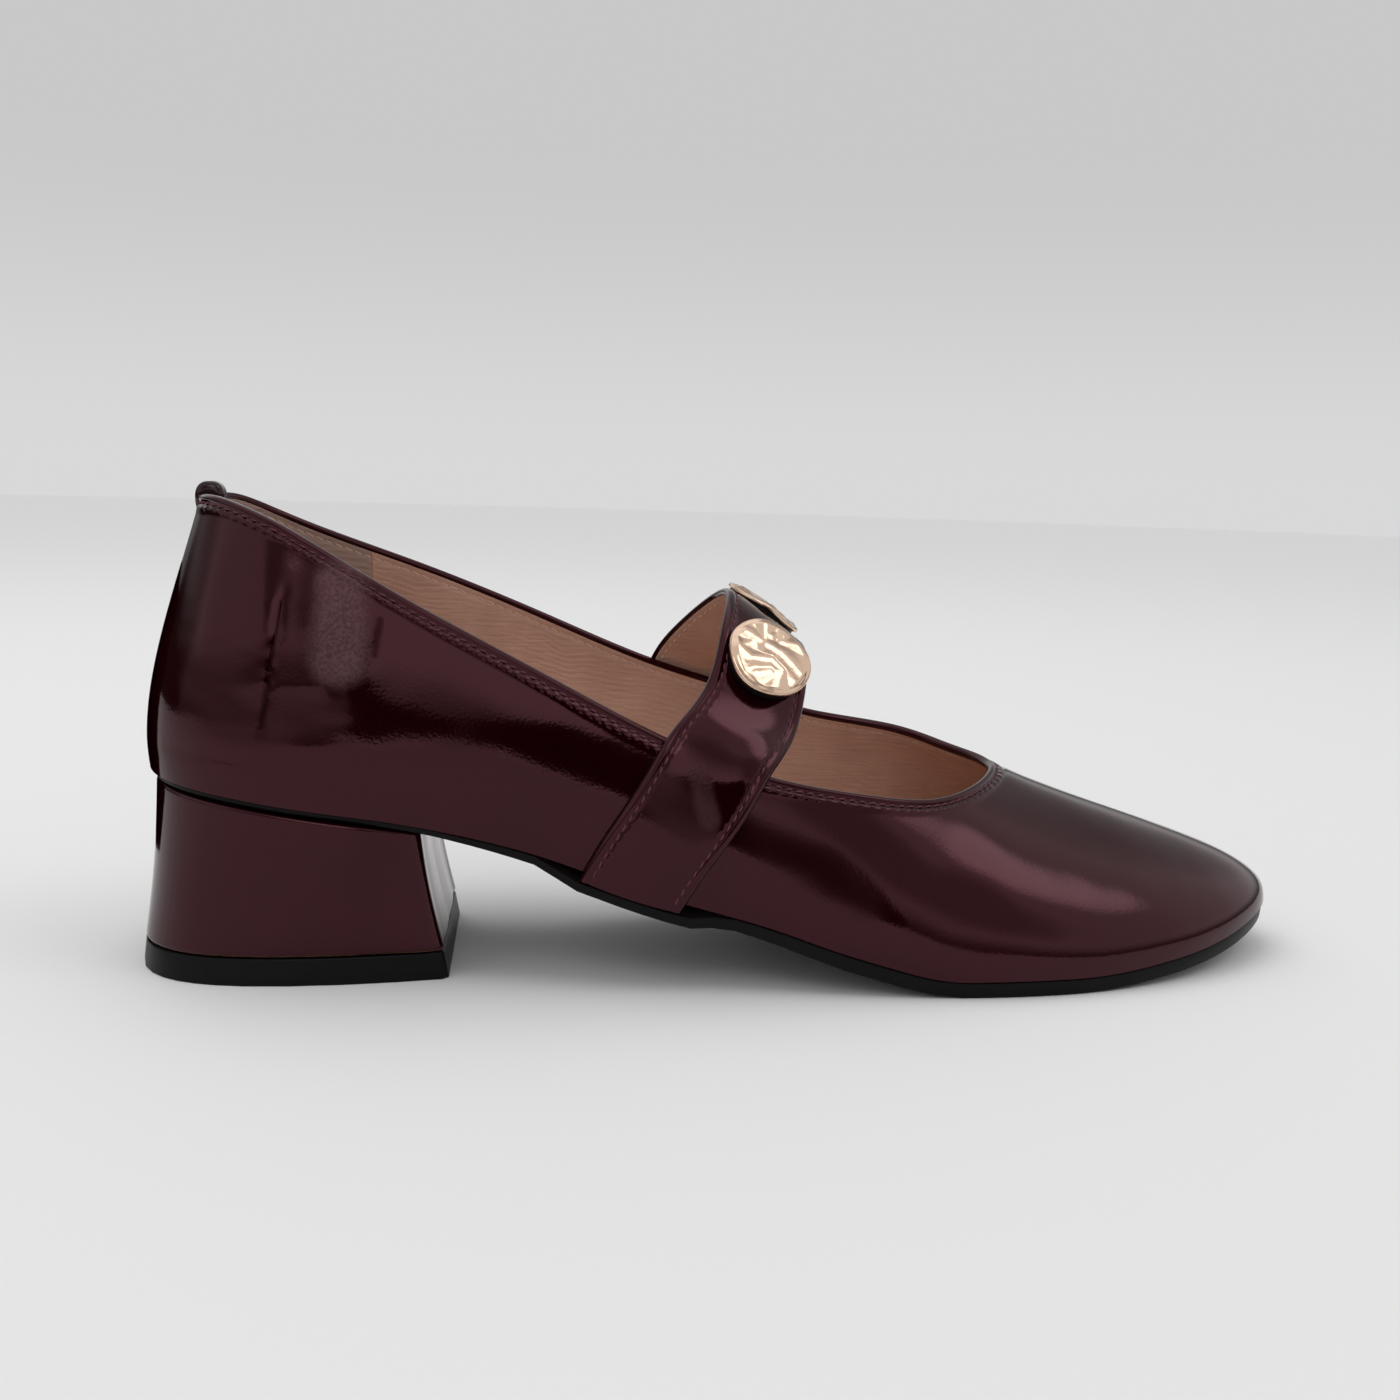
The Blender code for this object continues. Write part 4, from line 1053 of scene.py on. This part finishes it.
for name, turned in (("disc_lateral", 0.0), ("disc_medial", 140.0)):
    cloud = np.unique(np.round([v.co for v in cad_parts[name].data.vertices], 6), axis=0)
    middle = cloud.mean(axis=0)
    axis = np.linalg.svd(cloud - middle)[2][2]
    axis = axis if axis[2] > 0 else -axis
    high = ((cloud - middle) @ axis).max()
    seat_at = ((cloud - middle) @ axis).min()
    nearest = np.unravel_index(np.argmin(np.linalg.norm(strap_face - middle, axis=-1)), strap_face.shape[:2])
    across = strap_face[nearest[0], nearest[1] + 2] - strap_face[nearest[0], nearest[1] - 2]
    across -= axis * (across @ axis)
    across /= np.linalg.norm(across)
    onward = np.cross(axis, across)
    theta = np.linspace(0, 2 * np.pi, DISC_SPOKES, endpoint=False)[:, None]
    share = np.concatenate([TOP_SHARES, UNDER_SHARES])
    outline = 1 + 0.012 * np.sin(3 * theta + 0.5 + turned) - 0.05 * np.exp(-((theta - 1.75) / 0.16) ** 2)
    radius = DISC_RADIUS * share * (1 + (outline - 1) * share ** 2)
    bevel = np.interp(TOP_SHARES, *np.array(BEVEL).T) * MM
    bevel[-1] = RIM_FOOT - DISC_THICK
    relief = crumple(TOP_SHARES * np.cos(theta), TOP_SHARES * np.sin(theta), turned)
    face_height = high - DISC_RISE
    level = face_height + DISC_WAVE * share ** 3 * np.sin(4 * theta + turned)
    level[:, :len(TOP_SHARES)] += relief * np.interp(TOP_SHARES, *np.array(RELIEF_LEFT).T) + bevel
    level[:, len(TOP_SHARES):] -= DISC_THICK
    in_plane = across * (radius * np.cos(theta))[..., None] + onward * (radius * np.sin(theta))[..., None]
    grid = middle + in_plane + axis * level[..., None]
    disc = tube_piece(name + "_metal", grid, loop=False)
    bpy.ops.object.mode_set(mode="EDIT")
    bpy.ops.mesh.select_all(action="SELECT")
    bpy.ops.mesh.remove_doubles(threshold=0.002 * MM)
    bpy.ops.mesh.normals_make_consistent(inside=False)
    bpy.ops.object.mode_set(mode="OBJECT")
    dress(disc, rose_gold, "disc_metal", name, angle=32.0)
    foot = middle + axis * seat_at
    length = face_height - DISC_THICK - seat_at + SHADE_WASHER_SUNK
    bpy.ops.mesh.primitive_cylinder_add(vertices=64, radius=SHADE_WASHER_RADIUS, depth=length)
    shade_washer = bpy.context.object
    shade_washer.name = name + "_shade_washer"
    rounded_edges(shade_washer, SHADE_WASHER_EDGE, 3)
    turn = Vector(axis.tolist()).to_track_quat("Z", "Y").to_matrix().to_4x4()
    shade_washer.data.transform(Matrix.Translation(Vector((foot + axis * 0.5 * length).tolist())) @ turn)
    dress(shade_washer, shade_washer_black, "top_piece_rubber")


# Stage. A pale paper floor, and cards round the shoe that only reflections see: two black ones and a glowing
# strip along the lower edge of one. The world is a soft light tent with one lamp overhead, and the camera
# stands at the photograph's place, turned to frame the whole shoe.
FLOOR_NEAR = (0.78, 0.78, 0.78)
FLOOR_FAR = (0.79, 0.79, 0.79)
BACKDROP = 0.69
TENT_FOOT = 0.17
TENT_RISE = 0.63
FLAG_STEPS = 24
OVERHEAD_PLACE = Vector((-0.3, 0.1, 1.2))
CAMERA_PLACE = Vector((-44.15, -318.19, 101.7)) * MM
HALF_VIEW = 25.0
PHOTO_YAW = 7.84
PITCH = -8.49
ROLL = 1.75
AIM_RIGHT = 14.3

bpy.ops.mesh.primitive_circle_add(vertices=96, radius=4.0, fill_type="NGON", location=(0, 0, 0))
floor = bpy.context.object
floor.name = "floor"
paper = Finish("floor_paper", Roughness=0.85, Specular_IOR_Level=0.0)
away = paper.vector("LENGTH", paper.place(), (0, 0, 0), "Value")
paper.feed("Base Color", paper.between(paper.ramp(away, 0.12, 0.75), FLOOR_NEAR, FLOOR_FAR))
floor.data.materials.append(paper.material)

FLAGS = (
    # name, radius, rows of: degrees round the shoe from the lateral side, lower edge, upper edge in mm, glow
    ("flag_lateral", 0.36, ((-18.5, 51, 71), (-17.0, 41, 83), (-8.0, 20, 118), (2.0, 12, 142), (16.0, 8, 150),
                            (20.0, 30, 120)), 0.0),
    ("flag_lateral_rim", 0.365, ((-17.0, 31, 41), (-8.0, 11, 20), (2.0, 4, 12), (16.0, 1, 8)), 1.0),
    ("flag_back", 0.185, ((-96.0, 24, 66), (-101.0, 8, 84), (-116.0, 1, 84), (-136.0, 1, 70)), 0.0),
)
for name, radius, rows, glow in FLAGS:
    card = Finish(name, Roughness=1.0, Base_Color=(0.0, 0.0, 0.0, 1.0), Specular_IOR_Level=0.0,
                  Emission_Color=(1.0, 1.0, 1.0, 1.0), Emission_Strength=glow)
    turns, lows, highs = np.array(rows).T
    order = np.argsort(turns)
    corners = []
    for step in np.linspace(turns[0], turns[-1], FLAG_STEPS + 1):
        a = math.radians(step)
        for heights in (lows, highs):
            z = np.interp(step, turns[order], heights[order]) * MM
            corners.append((radius * math.sin(a), -radius * math.cos(a), z))
    flag = new_piece(name, corners, [(2 * i, 2 * i + 2, 2 * i + 3, 2 * i + 1) for i in range(FLAG_STEPS)])
    flag.data.materials.append(card.material)
    flag.visible_camera = False
    flag.visible_shadow = False
    flag.visible_diffuse = False

bpy.context.scene.view_settings.view_transform = "Standard"
world = bpy.data.worlds.new("studio")
bpy.context.scene.world = world
world.use_nodes = True
sky = Nodes(world.node_tree)
heading = sky.node("ShaderNodeTexCoord", {}, {}, "Generated")
height = sky.parts(heading)[2]
light = sky.ramp(height, 0.03, 0.24) * TENT_RISE + TENT_FOOT
LAMPS = (
    # degrees to the right of the lateral side, degrees up, inner and outer radius in degrees, light added
    (2.0, 26.0, 10.0, 20.0, 0.30),
    (-21.0, 29.0, 8.0, 17.0, -0.52),
    (30.0, 32.0, 10.0, 20.0, -0.38),
    (68.0, 52.0, 8.0, 16.0, 1.60),
    (-4.0, 43.0, 6.0, 14.0, 1.50),
    (-110.0, 12.0, 12.0, 32.0, -0.45),
    (180.0, 78.0, 14.0, 30.0, 0.35),
    (150.0, 40.0, 14.0, 34.0, -0.40),
    (-120.0, 55.0, 10.0, 26.0, -0.30),
)
for side, up, inner, outer, added in LAMPS:
    side, up = math.radians(side), math.radians(up)
    aim = (math.sin(side) * math.cos(up), -math.cos(side) * math.cos(up), math.sin(up))
    toward = sky.vector("DOT_PRODUCT", heading, aim, "Value")
    light = light + sky.ramp(toward, math.cos(math.radians(outer)), math.cos(math.radians(inner))) * added
light = light.math("MAXIMUM", 0.02)
eye = sky.node("ShaderNodeLightPath", {}, {}, "Is Camera Ray")
seen = sky.ramp(height, 0.0, 0.2) * -0.11 + BACKDROP
strength = light * (1.0 - eye) + seen * eye
backdrop = world.node_tree.nodes["Background"]
backdrop.inputs["Color"].default_value = (1.0, 1.0, 1.0, 1.0)
world.node_tree.links.new(strength.socket, backdrop.inputs["Strength"])

soft_box = bpy.data.lights.new("overhead", "AREA")
soft_box.shape = "RECTANGLE"
soft_box.size, soft_box.size_y = 1.1, 0.9
soft_box.energy = 3.8
overhead = bpy.data.objects.new("overhead", soft_box)
overhead.visible_glossy = False
overhead.location = OVERHEAD_PLACE
overhead.rotation_euler = (-OVERHEAD_PLACE).to_track_quat("-Z", "Y").to_euler()
bpy.context.scene.collection.objects.link(overhead)

camera_data = bpy.data.cameras.new("camera")
camera_data.sensor_width = 36.0
camera_data.lens = 0.5 * camera_data.sensor_width / math.tan(math.radians(HALF_VIEW))
camera = bpy.data.objects.new("camera", camera_data)
turn = Matrix.Rotation(math.radians(PHOTO_YAW - AIM_RIGHT), 4, "Z")
turn = turn @ Matrix.Rotation(math.radians(90 + PITCH), 4, "X") @ Matrix.Rotation(math.radians(ROLL), 4, "Z")
camera.matrix_world = Matrix.Translation(CAMERA_PLACE) @ turn
bpy.context.scene.collection.objects.link(camera)
bpy.context.scene.camera = camera
